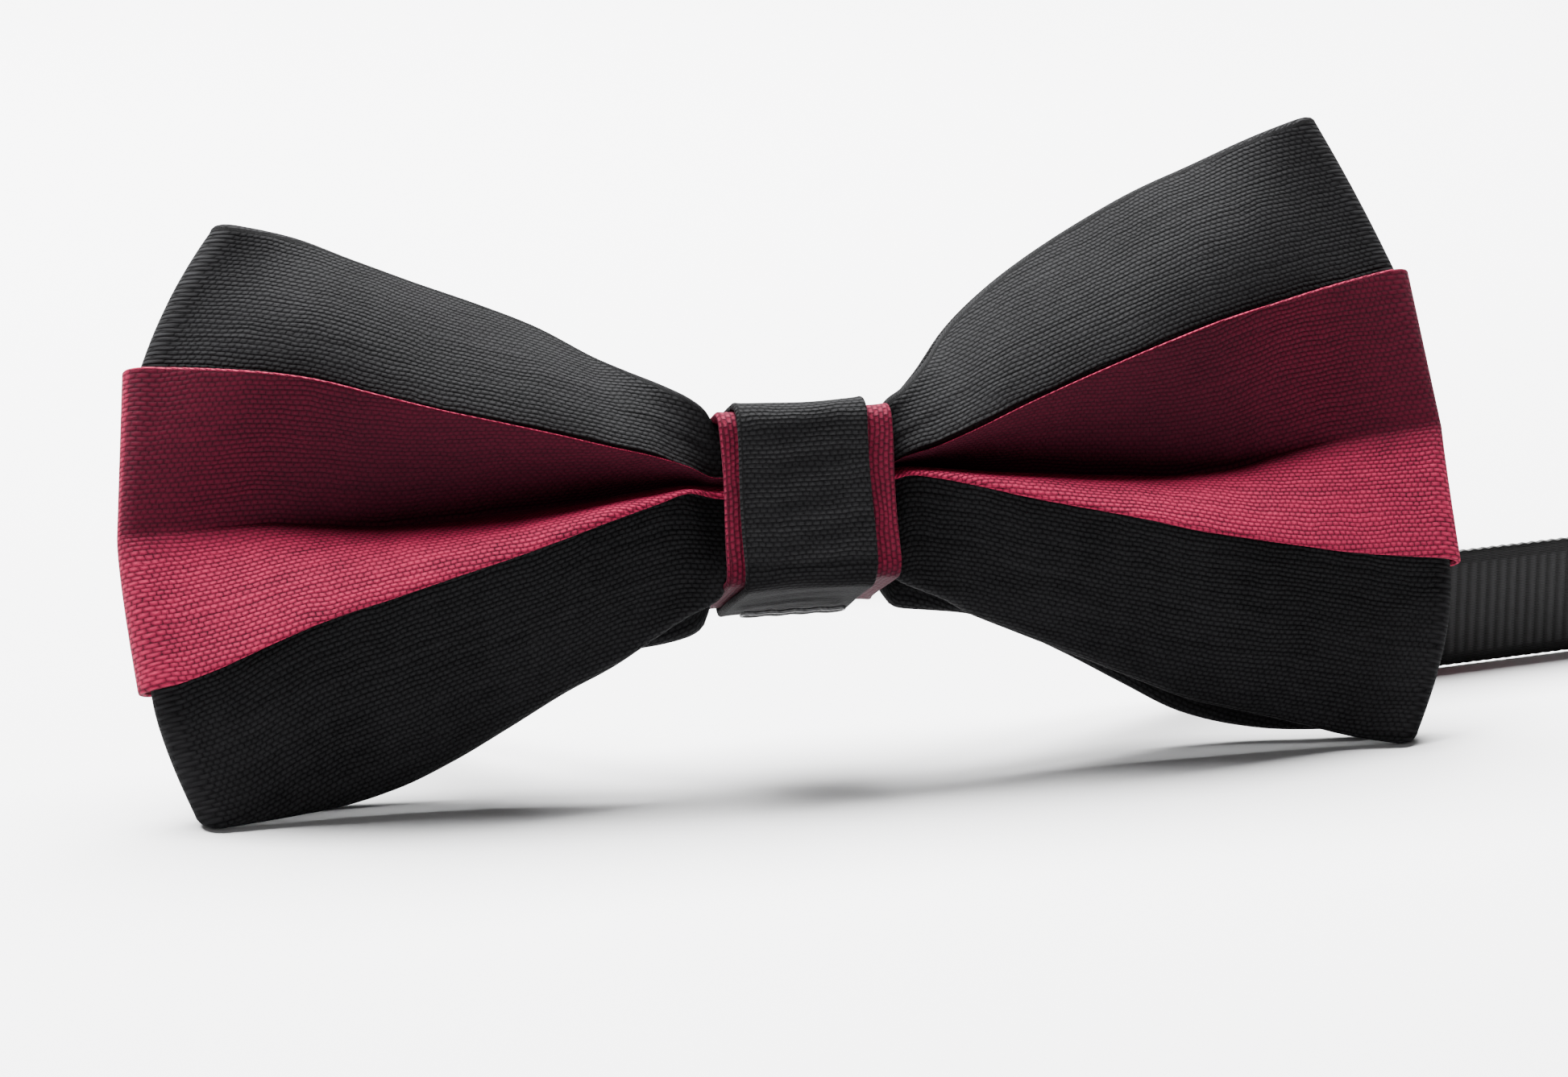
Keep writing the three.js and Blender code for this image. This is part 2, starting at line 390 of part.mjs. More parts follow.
// ---------- clasp and adjuster ----------
const py0 = CLASP_Y - PLATE_T / 2, py1 = CLASP_Y + PLATE_T / 2;
const eyePlate = plate(96.5, 109.5, 0, PLATE_H, py0, py1, 1.0, [[98.1, 102.9, 1.5, 13.5], [105.5, 107.9, SLOT_Z0, SLOT_Z1]]);
add(band, 'clasp_eye', union(eyePlate), NICKEL, [EYE_BAR_X, CLASP_Y, 0]);
const hookPlate = plate(62.0, 70.5, 0, PLATE_H, py0, py1, 1.0, [[63.6, 66.6, SLOT_Z0, SLOT_Z1]]);
const th = 0.45, hr = 1.3, tx = 75.4, hy = CLASP_Y - 2 * hr;
const tongue = new THREE.Shape();
tongue.moveTo(69.8, CLASP_Y + th); tongue.lineTo(tx, CLASP_Y + th);
tongue.absarc(tx, CLASP_Y - hr, hr + th, Math.PI / 2, -Math.PI / 2, true);
tongue.lineTo(71.4, hy - th); tongue.absarc(71.4, hy, th, -Math.PI / 2, -Math.PI * 1.5, true);
tongue.lineTo(tx, hy + th); tongue.absarc(tx, CLASP_Y - hr, hr - th, -Math.PI / 2, Math.PI / 2, false);
tongue.lineTo(69.8, CLASP_Y - th);
const tongueG = new THREE.ExtrudeGeometry(tongue, { depth: 6, bevelEnabled: false, curveSegments: 6 }).translate(0, 0, 4.5);
add(band, 'clasp_hook', union(hookPlate, tongueG), NICKEL, [HOOK_BAR_X, CLASP_Y, 0]);
const sy0 = OUTER_Y + BAND_T / 2 + GAP, sy1 = sy0 + PLATE_T;
const slideFrame = plate(SLIDE_X - 5.6, SLIDE_X + 5.6, 0, PLATE_H, sy0, sy1, 1.0, [[SLIDE_X - 4, SLIDE_X + 4, SLOT_Z0, SLOT_Z1]]);
const barY = INNER_Y + SEWN_R;
const slideBar = new THREE.CylinderGeometry(0.5, 0.5, PLATE_H - 1.0, 16).rotateX(Math.PI / 2).translate(SLIDE_X, barY, PLATE_H / 2);
const lug = (z0, z1) => block(SLIDE_X - 0.7, SLIDE_X + 0.7, barY - 0.6, sy1 - 0.1, z0, z1);
add(band, 'adjuster_slide', union(slideFrame, slideBar, lug(0.2, SLOT_Z0), lug(SLOT_Z1, PLATE_H - 0.2)), NICKEL, [SLIDE_X, barY, 0]);
const box = (x0, x1, y, za, zb, n) => {
  const out = [];
  for (let i = 0; i <= n; i++) out.push(new THREE.Vector3(x0 + (i % 2) * 0.35, y, lerp(za, zb, i / n)));
  for (let i = n; i >= 0; i--) out.push(new THREE.Vector3(x1 - (i % 2) * 0.35, y, lerp(za, zb, i / n)));
  return out;
};
add(band, 'eye_tack_stitches', thread(box(114.3, 116.8, 61.35 - BAND_T / 2 - 0.5, z2 + 1.2, z2 + BAND_W - 1.2, 8), 0.18, 54), THREAD);
add(band, 'adjuster_tack_stitches', thread(box(31.6, 34.2, INNER_Y - BAND_T / 2 - 0.5, z2 + 1.2, z2 + BAND_W - 1.2, 8), 0.18, 54), THREAD);

// ---------- stand on the surface, centred ----------
root.updateMatrixWorld(true);
const bounds = new THREE.Box3().setFromObject(root, true);
const mid = bounds.getCenter(new THREE.Vector3());
assembly.position.set(-mid.x, -mid.y, -bounds.min.z);
root.updateMatrixWorld(true);
root.userData.shift = [mid.x, mid.y, bounds.min.z];

export default root;
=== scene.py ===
import math
import bpy
import numpy as np
from mathutils import Matrix, Vector


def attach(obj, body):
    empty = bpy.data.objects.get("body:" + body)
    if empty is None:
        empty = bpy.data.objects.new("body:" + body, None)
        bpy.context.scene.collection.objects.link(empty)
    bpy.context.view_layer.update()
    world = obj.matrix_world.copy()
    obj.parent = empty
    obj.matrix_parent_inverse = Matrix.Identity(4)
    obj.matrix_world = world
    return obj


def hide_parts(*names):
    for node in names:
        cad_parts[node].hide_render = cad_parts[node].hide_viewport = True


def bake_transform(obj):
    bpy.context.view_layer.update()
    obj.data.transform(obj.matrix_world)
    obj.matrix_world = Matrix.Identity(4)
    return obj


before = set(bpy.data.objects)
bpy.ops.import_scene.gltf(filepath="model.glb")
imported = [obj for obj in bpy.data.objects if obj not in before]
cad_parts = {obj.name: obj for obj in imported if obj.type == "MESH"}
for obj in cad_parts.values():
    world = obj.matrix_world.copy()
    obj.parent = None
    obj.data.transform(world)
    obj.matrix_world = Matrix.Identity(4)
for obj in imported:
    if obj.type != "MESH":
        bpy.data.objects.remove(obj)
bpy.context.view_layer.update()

SX, SY = 39.1728, 32.7553
LEAN = math.radians(26)
CL, SL = math.cos(LEAN), math.sin(LEAN)
LIFT = 0.84
KNOT_X, KNOT_T = 0.5, 23.6
R_BLACK, R_ACCENT, FOLD_N = 2.1, 3.0, 2.2
BAND_W, BAND_T = 11.0, 0.8
CLASP_Y, OUTER_Y, INNER_Y = 62.05, 63.8, 60.3
HOOK_BAR_X, EYE_BAR_X, SLIDE_X = 62.8, 108.7, 28.0
rng = np.random.default_rng(7)


def to_row(p):
    return (np.asarray(p, float) - [SX, SY, 0.0]) * 1e-3


def bow(u, t, n):
    return np.stack([u, n * CL + t * SL, t * CL - n * SL + LIFT], -1)


def smooth(a, b, x):
    k = np.clip((np.asarray(x, float) - a) / (b - a), 0, 1)
    return k * k * (3 - 2 * k)


def pchip(rows, x, c):
    """Monotone smooth curve through a table's column c."""
    r = np.asarray(rows, float)
    X, Y = r[:, 0], r[:, c]
    h, d = np.diff(X), np.diff(Y) / np.diff(X)
    m = np.zeros_like(Y)
    m[0], m[-1] = d[0], d[-1]
    for i in range(1, len(X) - 1):
        if d[i - 1] * d[i] > 0:
            w1, w2 = 2 * h[i] + h[i - 1], h[i] + 2 * h[i - 1]
            m[i] = (w1 + w2) / (w1 / d[i - 1] + w2 / d[i])
    x = np.clip(np.asarray(x, float), X[0], X[-1])
    i = np.clip(np.searchsorted(X, x, side="right") - 1, 0, len(X) - 2)
    s = (x - X[i]) / h[i]
    return (1 + 2 * s) * (1 - s) ** 2 * Y[i] + s * (1 - s) ** 2 * h[i] * m[i] + s * s * (3 - 2 * s) * Y[i + 1] + s * s * (s - 1) * h[i] * m[i + 1]


# ---------- the bow's visible fibres: [distance from the middle, height, depth] ----------
FIB = {
    "L": {
        "T": [[0, 29.2, -4.6], [6.0, 29.6, -4.8], [6.9, 31.0, -5.2], [8.0, 32.1, -4.9], [10.0, 33.6, -4.0], [13, 35.6, -2.6], [16, 37.8, -0.9], [20, 40.4, -0.6], [25, 42.8, -0.2], [30, 44.9, 0.1], [35, 47.1, 0.3], [40, 49.2, 0.4], [47.2, 50.9, 0.2]],
        "A": [[0, 25.4, -5.0], [6.6, 25.6, -5.2], [9, 26.5, -6.2], [12, 27.4, -6.9], [16, 28.4, -7.4], [20, 29.5, -7.7], [25, 30.8, -7.9], [30, 32.2, -7.6], [35, 33.9, -6.9], [40, 35.7, -5.9], [45, 37.0, -4.7], [50, 38.0, -3.3], [55.5, 38.9, -0.8]],
        "C": [[0, 24.8, -4.2], [6.6, 25.2, -3.8], [9, 25.6, -3.0], [12, 25.5, -2.6], [16, 25.2, -2.2], [20, 24.9, -2.0], [25, 24.6, -1.8], [30, 24.3, -1.5], [35, 24.2, -1.2], [40, 24.6, -1.0], [45, 25.0, -0.9], [50, 24.9, -0.8], [56.8, 24.8, -0.8]],
        "R": [[0, 24.2, -4.8], [6.6, 24.7, -4.8], [9, 25.0, -5.2], [12, 24.6, -5.5], [16, 23.9, -5.9], [20, 23.2, -5.9], [25, 22.4, -5.7], [30, 21.9, -5.2], [35, 21.6, -4.4], [40, 21.5, -3.5], [45, 21.3, -2.6], [50, 20.8, -1.7], [56.8, 20.0, -0.8]],
        "B": [[0, 23.4, -5.0], [6.6, 24.2, -5.2], [9, 24.5, -6.2], [12, 23.7, -6.9], [16, 22.5, -7.5], [20, 21.2, -7.8], [25, 19.7, -7.9], [30, 18.4, -7.6], [35, 17.1, -6.9], [40, 15.9, -5.9], [45, 14.4, -4.7], [50, 12.9, -3.3], [56.1, 11.6, -0.8]],
        "E": [[0, 17.8, -4.2], [6.0, 17.6, -4.4], [6.9, 16.2, -4.6], [9.6, 15.0, -3.6], [12, 13.7, -2.5], [16, 11.4, -0.9], [20, 9.6, -0.6], [25, 7.0, -0.2], [30, 4.5, 0.1], [35, 2.5, 0.3], [40, 1.3, 0.4], [45, 0.7, 0.4], [52.1, 0.0, 0.2]],
    },
    "R": {
        "T": [[0, 29.2, -4.6], [7.9, 29.6, -4.8], [8.8, 30.9, -5.2], [10.6, 32.2, -4.4], [13.5, 35.0, -2.8], [16, 38.1, -0.9], [20, 41.6, -0.6], [25, 45.0, -0.2], [30, 47.8, 0.2], [35, 50.2, 0.3], [40, 52.1, 0.4], [45, 53.9, 0.4], [52.9, 56.3, 0.2]],
        "A": [[0, 25.4, -5.0], [7.6, 25.7, -5.2], [10, 26.4, -6.5], [12, 26.8, -6.9], [16, 28.1, -7.6], [20, 29.7, -7.8], [25, 31.6, -7.9], [30, 33.4, -7.8], [35, 35.2, -6.9], [40, 36.9, -5.8], [45, 38.3, -4.6], [50, 39.7, -3.1], [59.8, 42.0, -0.8]],
        "C": [[0, 24.8, -4.2], [7.6, 25.6, -3.8], [10, 26.2, -3.0], [12, 26.2, -2.6], [16, 25.9, -2.2], [20, 25.4, -2.0], [25, 25.0, -1.8], [30, 24.6, -1.5], [35, 24.3, -1.2], [40, 24.6, -1.0], [45, 25.8, -0.9], [50, 26.7, -0.8], [61.3, 27.8, -0.8]],
        "R": [[0, 24.2, -4.8], [7.6, 25.2, -4.8], [10, 25.6, -5.3], [12, 25.4, -5.5], [16, 24.8, -5.8], [20, 24.3, -5.8], [25, 23.8, -5.5], [30, 23.4, -5.0], [35, 23.1, -4.3], [40, 23.1, -3.5], [45, 23.3, -2.6], [50, 23.3, -1.8], [61.3, 23.0, -0.8]],
        "B": [[0, 23.4, -5.0], [7.6, 24.6, -5.2], [10, 25.0, -6.3], [12, 24.6, -6.9], [16, 23.5, -7.6], [20, 22.3, -7.8], [25, 21.0, -7.9], [30, 19.8, -7.7], [35, 18.6, -6.9], [40, 17.8, -5.8], [45, 17.1, -4.6], [50, 16.5, -3.1], [61.4, 15.6, -0.8]],
        "E": [[0, 17.8, -4.2], [7.9, 17.6, -4.4], [8.8, 16.7, -4.6], [10.6, 16.1, -3.8], [13, 15.3, -2.6], [16, 13.9, -0.9], [20, 12.1, -0.6], [25, 9.9, -0.2], [30, 7.6, 0.1], [35, 5.4, 0.3], [40, 4.0, 0.4], [45, 2.6, 0.4], [50, 1.2, 0.4], [55.8, 0.0, 0.2]],
    },
}
BACK_E = {
    "L": [[0, 17.8], [6.5, 17.5], [7.0, 15.4], [8.0, 14.3], [10, 13.7], [12, 13.4], [14, 13.2], [20, 11.2], [25, 8.9], [30, 6.4], [35, 4.4], [40, 2.9], [46, 2.2], [52.1, 1.9]],
    "R": [[0, 17.8], [8.3, 17.6], [8.8, 16.0], [9.8, 15.4], [11, 15.2], [12.6, 15.0], [16, 14.5], [20, 13.0], [25, 10.6], [30, 7.8], [35, 5.0], [40, 3.4], [45, 2.5], [50, 2.1], [55.8, 1.9]],
}
BACK_N = [[0, 2.0], [15, 2.0], [20, 2.9], [25, 3.8], [30, 4.4], [35, 4.6], [40, 4.4], [47, 3.7], [53, 3.5], [62, 3.5]]
END_DIR = {"T": 14, "U": 12, "A": 8, "C": 2, "R": -3, "B": -6, "L": -7, "E": -7}
END_R = {"A": 3.0, "C": 1.3, "R": 2.3, "B": 3.0}
# outer outline: black cloth and accent band
END_BLACK = {
    "L": {"T": (47.2, 50.9), "U": (51.0, 45.3), "A": (53.9, 39.4), "C": (55.6, 24.8), "R": (55.6, 20.0), "B": (55.0, 11.6), "L": (54.2, 6.6), "E": (52.1, 0.0)},
    "R": {"T": (52.9, 56.3), "U": (56.0, 49.3), "A": (58.8, 42.0), "C": (60.2, 27.8), "R": (60.3, 23.0), "B": (60.6, 15.4), "L": (59.4, 8.4), "E": (55.8, 0.0)},
}
END_ACCENT = {"L": {"A": (55.5, 38.9), "C": (56.9, 24.8), "R": (56.8, 20.0), "B": (56.1, 11.6)}, "R": {"A": (59.9, 42.0), "C": (61.4, 27.8), "R": (61.4, 23.0), "B": (61.6, 15.6)}}
SEG = {"L": 53.0, "R": 53.0}


def across(counts, kind):
    """Columns across a strip: (fibre, fibre, share)."""
    cols = []
    for (a, b), n in counts:
        for i in range(n):
            cols.append((a, b, i / n))
    cols.append((counts[-1][0][0], counts[-1][0][1], 1.0))
    return cols


SHELL_COLS = across([(("T", "U"), 14), (("U", "A"), 14), (("A", "C"), 12), (("C", "R"), 5), (("R", "B"), 7), (("B", "L"), 14), (("L", "E"), 14)], "shell")
ACCENT_COLS = across([(("A", "C"), 26), (("C", "R"), 12), (("R", "B"), 14)], "accent")


def fibre(side, name, x, kind, face):
    tab = FIB[side]
    if name in ("U", "L"):
        p, q = (fibre(side, "T", x, kind, face), fibre(side, "A", x, kind, face)) if name == "U" else (fibre(side, "B", x, kind, face), fibre(side, "E", x, kind, face))
        puff = 1.15 * smooth(9, 20, x) * (1 - smooth(42, 58, x))
        k = 0.5
        return np.stack([p[0] * k + q[0] * (1 - k), p[1] * k + q[1] * (1 - k) - puff * (1 if face == "front" else 0)])
    if face == "front":
        t, n = pchip(tab[name], x, 1), pchip(tab[name], x, 2)
        if name == "C":
            n = n + 1.9 * smooth(9, 18, x) * (1 - 0.5 * smooth(30, 50, x))
        if kind == "shell" and name in "ACRB":
            n = n + {"A": 0.9, "C": 1.5, "R": 1.2, "B": 1.9}[name]
            t = t + {"A": 0.45, "C": 0.0, "R": -0.5, "B": 0.6}[name] * smooth(8, 12, x)
        return np.stack([t, n])
    top, low = pchip(tab["T"], x, 1), pchip(BACK_E[side], x, 1)
    k = {"T": 0, "U": 0.17, "A": 0.34, "C": 0.5, "R": 0.58, "B": 0.66, "L": 0.84, "E": 1}[name]
    k_end = {"T": 0, "U": 0.12, "A": 0.25, "C": 0.53, "R": 0.63, "B": 0.79, "L": 0.9, "E": 1}[name]
    t = top + (low - top) * (k + (k_end - k) * smooth(10, 52, x))
    pleat = {"T": 0, "U": 0.3, "A": 0.6, "C": -0.5, "R": 0.1, "B": 0.6, "L": 0.3, "E": 0}[name] * smooth(14, 24, x) * (1 - smooth(40, 52, x))
    n = pchip(BACK_N, x, 1) + (0.8 if kind == "shell" else 1.65) + pleat
    return np.stack([t, n])


def column_value(f, col):
    """Smooth within a panel, sharp at the accent band's edges and the crease."""
    a, b, k = col
    prev = {"U": "T", "R": "C", "L": "B"}
    nxt = {"U": "A", "R": "B", "L": "E"}
    p, q = f(a), f(b)
    if b in prev:  # first half of a curved panel, T-U-A and so on
        r = f(nxt[b])
        mid = (r - p) / 2
        h = k
        return (1 + 2 * h) * (1 - h) ** 2 * p + h * (1 - h) ** 2 * (2 * (q - p) - mid) + h * h * (3 - 2 * h) * q + h * h * (h - 1) * mid
    if a in prev:
        r = f(prev[a])
        mid = (q - r) / 2
        h = k
        return (1 + 2 * h) * (1 - h) ** 2 * p + h * (1 - h) ** 2 * mid + h * h * (3 - 2 * h) * q + h * h * (h - 1) * (2 * (q - p) - mid)
    return p + (q - p) * k


def wing(side, kind, cols, nf, nb, nfold):
    """Rows of outer-surface points (u, t, n) with outward directions, back ply to front ply round the outer fold."""
    sgn = -1.0 if side == "L" else 1.0
    radius = R_BLACK if kind == "shell" else R_ACCENT

    def endvals(name):
        under = name in "ACRB"
        s, t = (END_ACCENT if under else END_BLACK)[side][name]
        d = math.radians(END_DIR[name])
        off = END_R[name] if under else R_BLACK
        if kind == "shell" and under:
            s, t = END_BLACK[side][name]
            off = END_R[name] - 0.9
        return np.array([s - math.cos(d) * off, t - math.sin(d) * off, math.cos(d), math.sin(d), off])

    ends = np.array([column_value(endvals, c) for c in cols])  # (cols, 4)

    def rows(face, st):
        out = np.zeros((len(st), len(cols), 3))
        w = smooth(10, 44, st)
        for j, c in enumerate(cols):
            e = ends[j]
            x = st + (st * e[0] / 53.0 - st) * w
            v = column_value(lambda nm: fibre(side, nm, x, kind, face), c)
            m = smooth(41, 53, st)
            lift = 0.0
            if face == "back":
                lift = {"E": 1.9, "L": 1.0}.get(c[1], 0) * c[2] + {"L": 1.0}.get(c[0], 0) * (1 - c[2])
            out[:, j, 0] = sgn * x
            out[:, j, 1] = v[0] + (e[1] + lift - v[0][-1]) * m
            en = FOLD_N + e[4] if face == "back" else FOLD_N - e[4]
            out[:, j, 2] = v[1] + (en - v[1][-1]) * m
        return out

    stf = np.concatenate([np.linspace(0, 6.0, 8), np.linspace(6.3, 13.8, 30), np.linspace(14.3, 53.0, nf - 38)])
    stb = np.concatenate([np.linspace(0, 6.0, 6), np.linspace(6.5, 13.8, 18), np.linspace(14.5, 53.0, nb - 24)])
    back, front = rows("back", stb), rows("front", stf)
    fold = []
    for k in range(1, nfold):
        a = math.pi * k / nfold
        h = (1 - math.cos(a)) / 2
        p = back[-1] * (1 - h) + front[-1] * h
        p[:, 0] += sgn * ends[:, 2] * ends[:, 4] * math.sin(a)
        p[:, 1] += ends[:, 3] * ends[:, 4] * math.sin(a)
        fold.append(p)
    rows_all = np.concatenate([back, np.array(fold), front[::-1]])
    # outward direction in (u, t, n)
    D = np.zeros_like(rows_all)
    D[: nb, :, 2] = 1
    for k in range(1, nfold):
        a = math.pi * k / nfold
        D[nb + k - 1, :, 0] = sgn * ends[:, 2] * math.sin(a)
        D[nb + k - 1, :, 1] = ends[:, 3] * math.sin(a)
        D[nb + k - 1, :, 2] = math.cos(a)
    D[nb + nfold - 1 :, :, 2] = -1
    return rows_all, D


def relax(a, times, axis):
    a = a.copy()
    for _ in range(times):
        n = np.moveaxis(a, axis, 0)
        n[1:-1] = 0.5 * n[1:-1] + 0.25 * (n[:-2] + n[2:])
    return a


def mesh_object(name, verts, faces, cloth=None, smooth_shade=True):
    me = bpy.data.meshes.new(name)
    me.from_pydata([tuple(v) for v in verts], [], faces)
    me.update()
    if cloth is not None:
        at = me.attributes.new("cloth", "FLOAT_VECTOR", "CORNER")
        at.data.foreach_set("vector", np.asarray(cloth, np.float32).ravel())
    if smooth_shade:
        me.polygons.foreach_set("use_smooth", [True] * len(me.polygons))
    ob = bpy.data.objects.new(name, me)
    bpy.context.scene.collection.objects.link(ob)
    return ob


def ring_mesh(name, rings, uv, vspan, closed_path=False, shade=None):
    """Closed skin along rings of points (rows, ring, 3), mm. uv (rows, ring, 2) in mm; vspan closes the ring."""
    R, n = rings.shape[:2]
    verts = to_row(rings.reshape(-1, 3))
    z = np.zeros((R, n)) if shade is None else shade
    faces, cl = [], []
    for i in range(R if closed_path else R - 1):
        i2 = (i + 1) % R
        for j in range(n):
            k = (j + 1) % n
            faces.append((i * n + j, i2 * n + j, i2 * n + k, i * n + k))
            a, b, c, d = uv[i, j], uv[i2, j], uv[i2, k], uv[i, k]
            if k == 0:
                c, d = c + [0, vspan], d + [0, vspan]
            cl += [(*a, z[i, j]), (*b, z[i2, j]), (*c, z[i2, k]), (*d, z[i, k])]
    if not closed_path:
        # cap both ends with a strip across the ring
        for o, i, flip in ((0, 0, False), ((R - 1) * n, R - 1, True)):
            for j in range(n // 2 - 1):
                q = [j, j + 1, n - 2 - j, n - 1 - j]
                if flip:
                    q = q[::-1]
                faces.append(tuple(o + v for v in q))
                cl += [(*uv[i, v], 0) for v in q]
    return mesh_object(name, verts, faces, cl)


def strip_object(name, kind, cols, thick, roll, nf, nb, nfold, wrinkle=None):
    """A closed cloth strip running all round the bow's loop."""
    r, dr = wing("R", kind, cols, nf, nb, nfold)
    l, dl = wing("L", kind, cols, nf, nb, nfold)
    r[0, :, 0], l[0, :, 0] = 0.3, -0.3
    P = np.concatenate([r, l[::-1][1:]])
    D = np.concatenate([dr, dl[::-1][1:]])
    if wrinkle is not None:
        P = wrinkle(P, D)
    P = relax(P, 1, 0)
    D = relax(D, 3, 0)
    D /= np.linalg.norm(D, axis=-1, keepdims=True)
    inner = P - D * thick
    inner = relax(inner, 10 if kind == "shell" else 2, 1)
    edge_t = P[:, 0] - P[:, 1]
    edge_b = P[:, -1] - P[:, -2]
    edge_t[:, 0] *= 0.3
    edge_b[:, 0] *= 0.3
    edge_t /= np.linalg.norm(edge_t, axis=-1, keepdims=True)
    edge_b /= np.linalg.norm(edge_b, axis=-1, keepdims=True)
    outer = list(np.moveaxis(P, 1, 0))
    inn = list(np.moveaxis(inner, 1, 0))
    ks = np.linspace(0, math.pi, 8)[1:-1]
    low = [(P[:, -1] + inner[:, -1]) / 2 + edge_b * roll * math.sin(k) + (P[:, -1] - inner[:, -1]) / 2 * math.cos(k) for k in ks]
    top = [(P[:, 0] + inner[:, 0]) / 2 + edge_t * roll * math.sin(k) - (P[:, 0] - inner[:, 0]) / 2 * math.cos(k) for k in ks]
    # ring runs down the outside, round the lower edge, up the inside and over the top edge
    ring = np.stack(outer + low + inn[::-1] + top, 1)
    xyz = bow(ring[..., 0], ring[..., 1], ring[..., 2])
    uv = np.zeros(xyz.shape[:2] + (2,))
    uv[:, :, 0] = np.concatenate([[0], np.cumsum(np.linalg.norm(np.diff(xyz[:, len(cols) // 2], axis=0), axis=-1))])[:, None]
    step = np.linalg.norm(np.diff(xyz, axis=1), axis=-1)
    v = np.concatenate([np.zeros((len(xyz), 1)), np.cumsum(step, 1)], 1)
    ref = next(i for i, c in enumerate(cols) if c[0] == ("A" if kind == "shell" else "C"))
    uv[:, :, 1] = v - v[:, ref : ref + 1] + 40
    if kind == "shell":
        low_ref = next(i for i, c in enumerate(cols) if c[0] == "B")
        mask = np.arange(xyz.shape[1]) >= (ref + low_ref) // 2
        uv[:, mask, 1] = (v - v[:, low_ref : low_ref + 1] + 60)[:, mask]
    # painted shade: the accent's upper pleat panel (A to C) is darkened almost fully, and the lower panel less and less
    # from the crease down to R; front faces get slightly less of it towards the wing ends, back faces 0.3 of it; the
    # black shell gets none
    col = np.zeros(xyz.shape[1])
    if kind == "accent":
        for j, (a, b, k) in enumerate(cols):
            col[j] = 0.97 + 0.03 * k if b == "C" else 0.9 * (1 - k) ** 1.3 if b == "R" else 0.0
    row = np.ones(len(xyz))
    far = np.abs(P[:, len(cols) // 2, 0])
    front = D[:, 0, 2] < -0.5
    row = np.where(front, 1 - 0.12 * smooth(36, 53, far), 0.3)
    return ring_mesh(name, xyz, uv, 2.0, shade=row[:, None] * col[None, :])


# ---------- materials ----------
def nodes_of(mat):
    mat.use_nodes = True
    nt = mat.node_tree
    nt.nodes.clear()
    out = nt.nodes.new("ShaderNodeOutputMaterial")
    bsdf = nt.nodes.new("ShaderNodeBsdfPrincipled")
    nt.links.new(bsdf.outputs["BSDF"], out.inputs["Surface"])
    return nt, bsdf


def math_node(nt, op, a, b=None, c=None, clamp=False):
    n = nt.nodes.new("ShaderNodeMath")
    n.operation = op
    n.use_clamp = clamp
    for i, v in enumerate((a, b, c)):
        if v is None:
            continue
        if isinstance(v, (int, float)):
            n.inputs[i].default_value = v
        else:
            nt.links.new(v, n.inputs[i])
    return n.outputs[0]


def map_range(nt, v, a, b, c, d):
    n = nt.nodes.new("ShaderNodeMapRange")
    nt.links.new(v, n.inputs["Value"])
    for k, x in (("From Min", a), ("From Max", b), ("To Min", c), ("To Max", d)):
        n.inputs[k].default_value = x
    return n.outputs["Result"]


def noise(nt, vec, scale, detail=2.0, rough=0.5):
    n = nt.nodes.new("ShaderNodeTexNoise")
    nt.links.new(vec, n.inputs["Vector"])
    n.inputs["Scale"].default_value = scale
    n.inputs["Detail"].default_value = detail
    n.inputs["Roughness"].default_value = rough
    return n.outputs["Fac"]


def combine(nt, x, y, z=0.0):
    n = nt.nodes.new("ShaderNodeCombineXYZ")
    for i, v in enumerate((x, y, z)):
        if isinstance(v, (int, float)):
            n.inputs[i].default_value = v
        else:
            nt.links.new(v, n.inputs[i])
    return n.outputs[0]


def mix_color(nt, fac, a, b, blend="MIX"):
    n = nt.nodes.new("ShaderNodeMix")
    n.data_type = "RGBA"
    n.blend_type = blend
    if isinstance(fac, (int, float)):
        n.inputs[0].default_value = fac
    else:
        nt.links.new(fac, n.inputs[0])
    for i, v in ((6, a), (7, b)):
        if isinstance(v, tuple):
            n.inputs[i].default_value = (*v, 1)
        else:
            nt.links.new(v, n.inputs[i])
    return n.outputs[2]


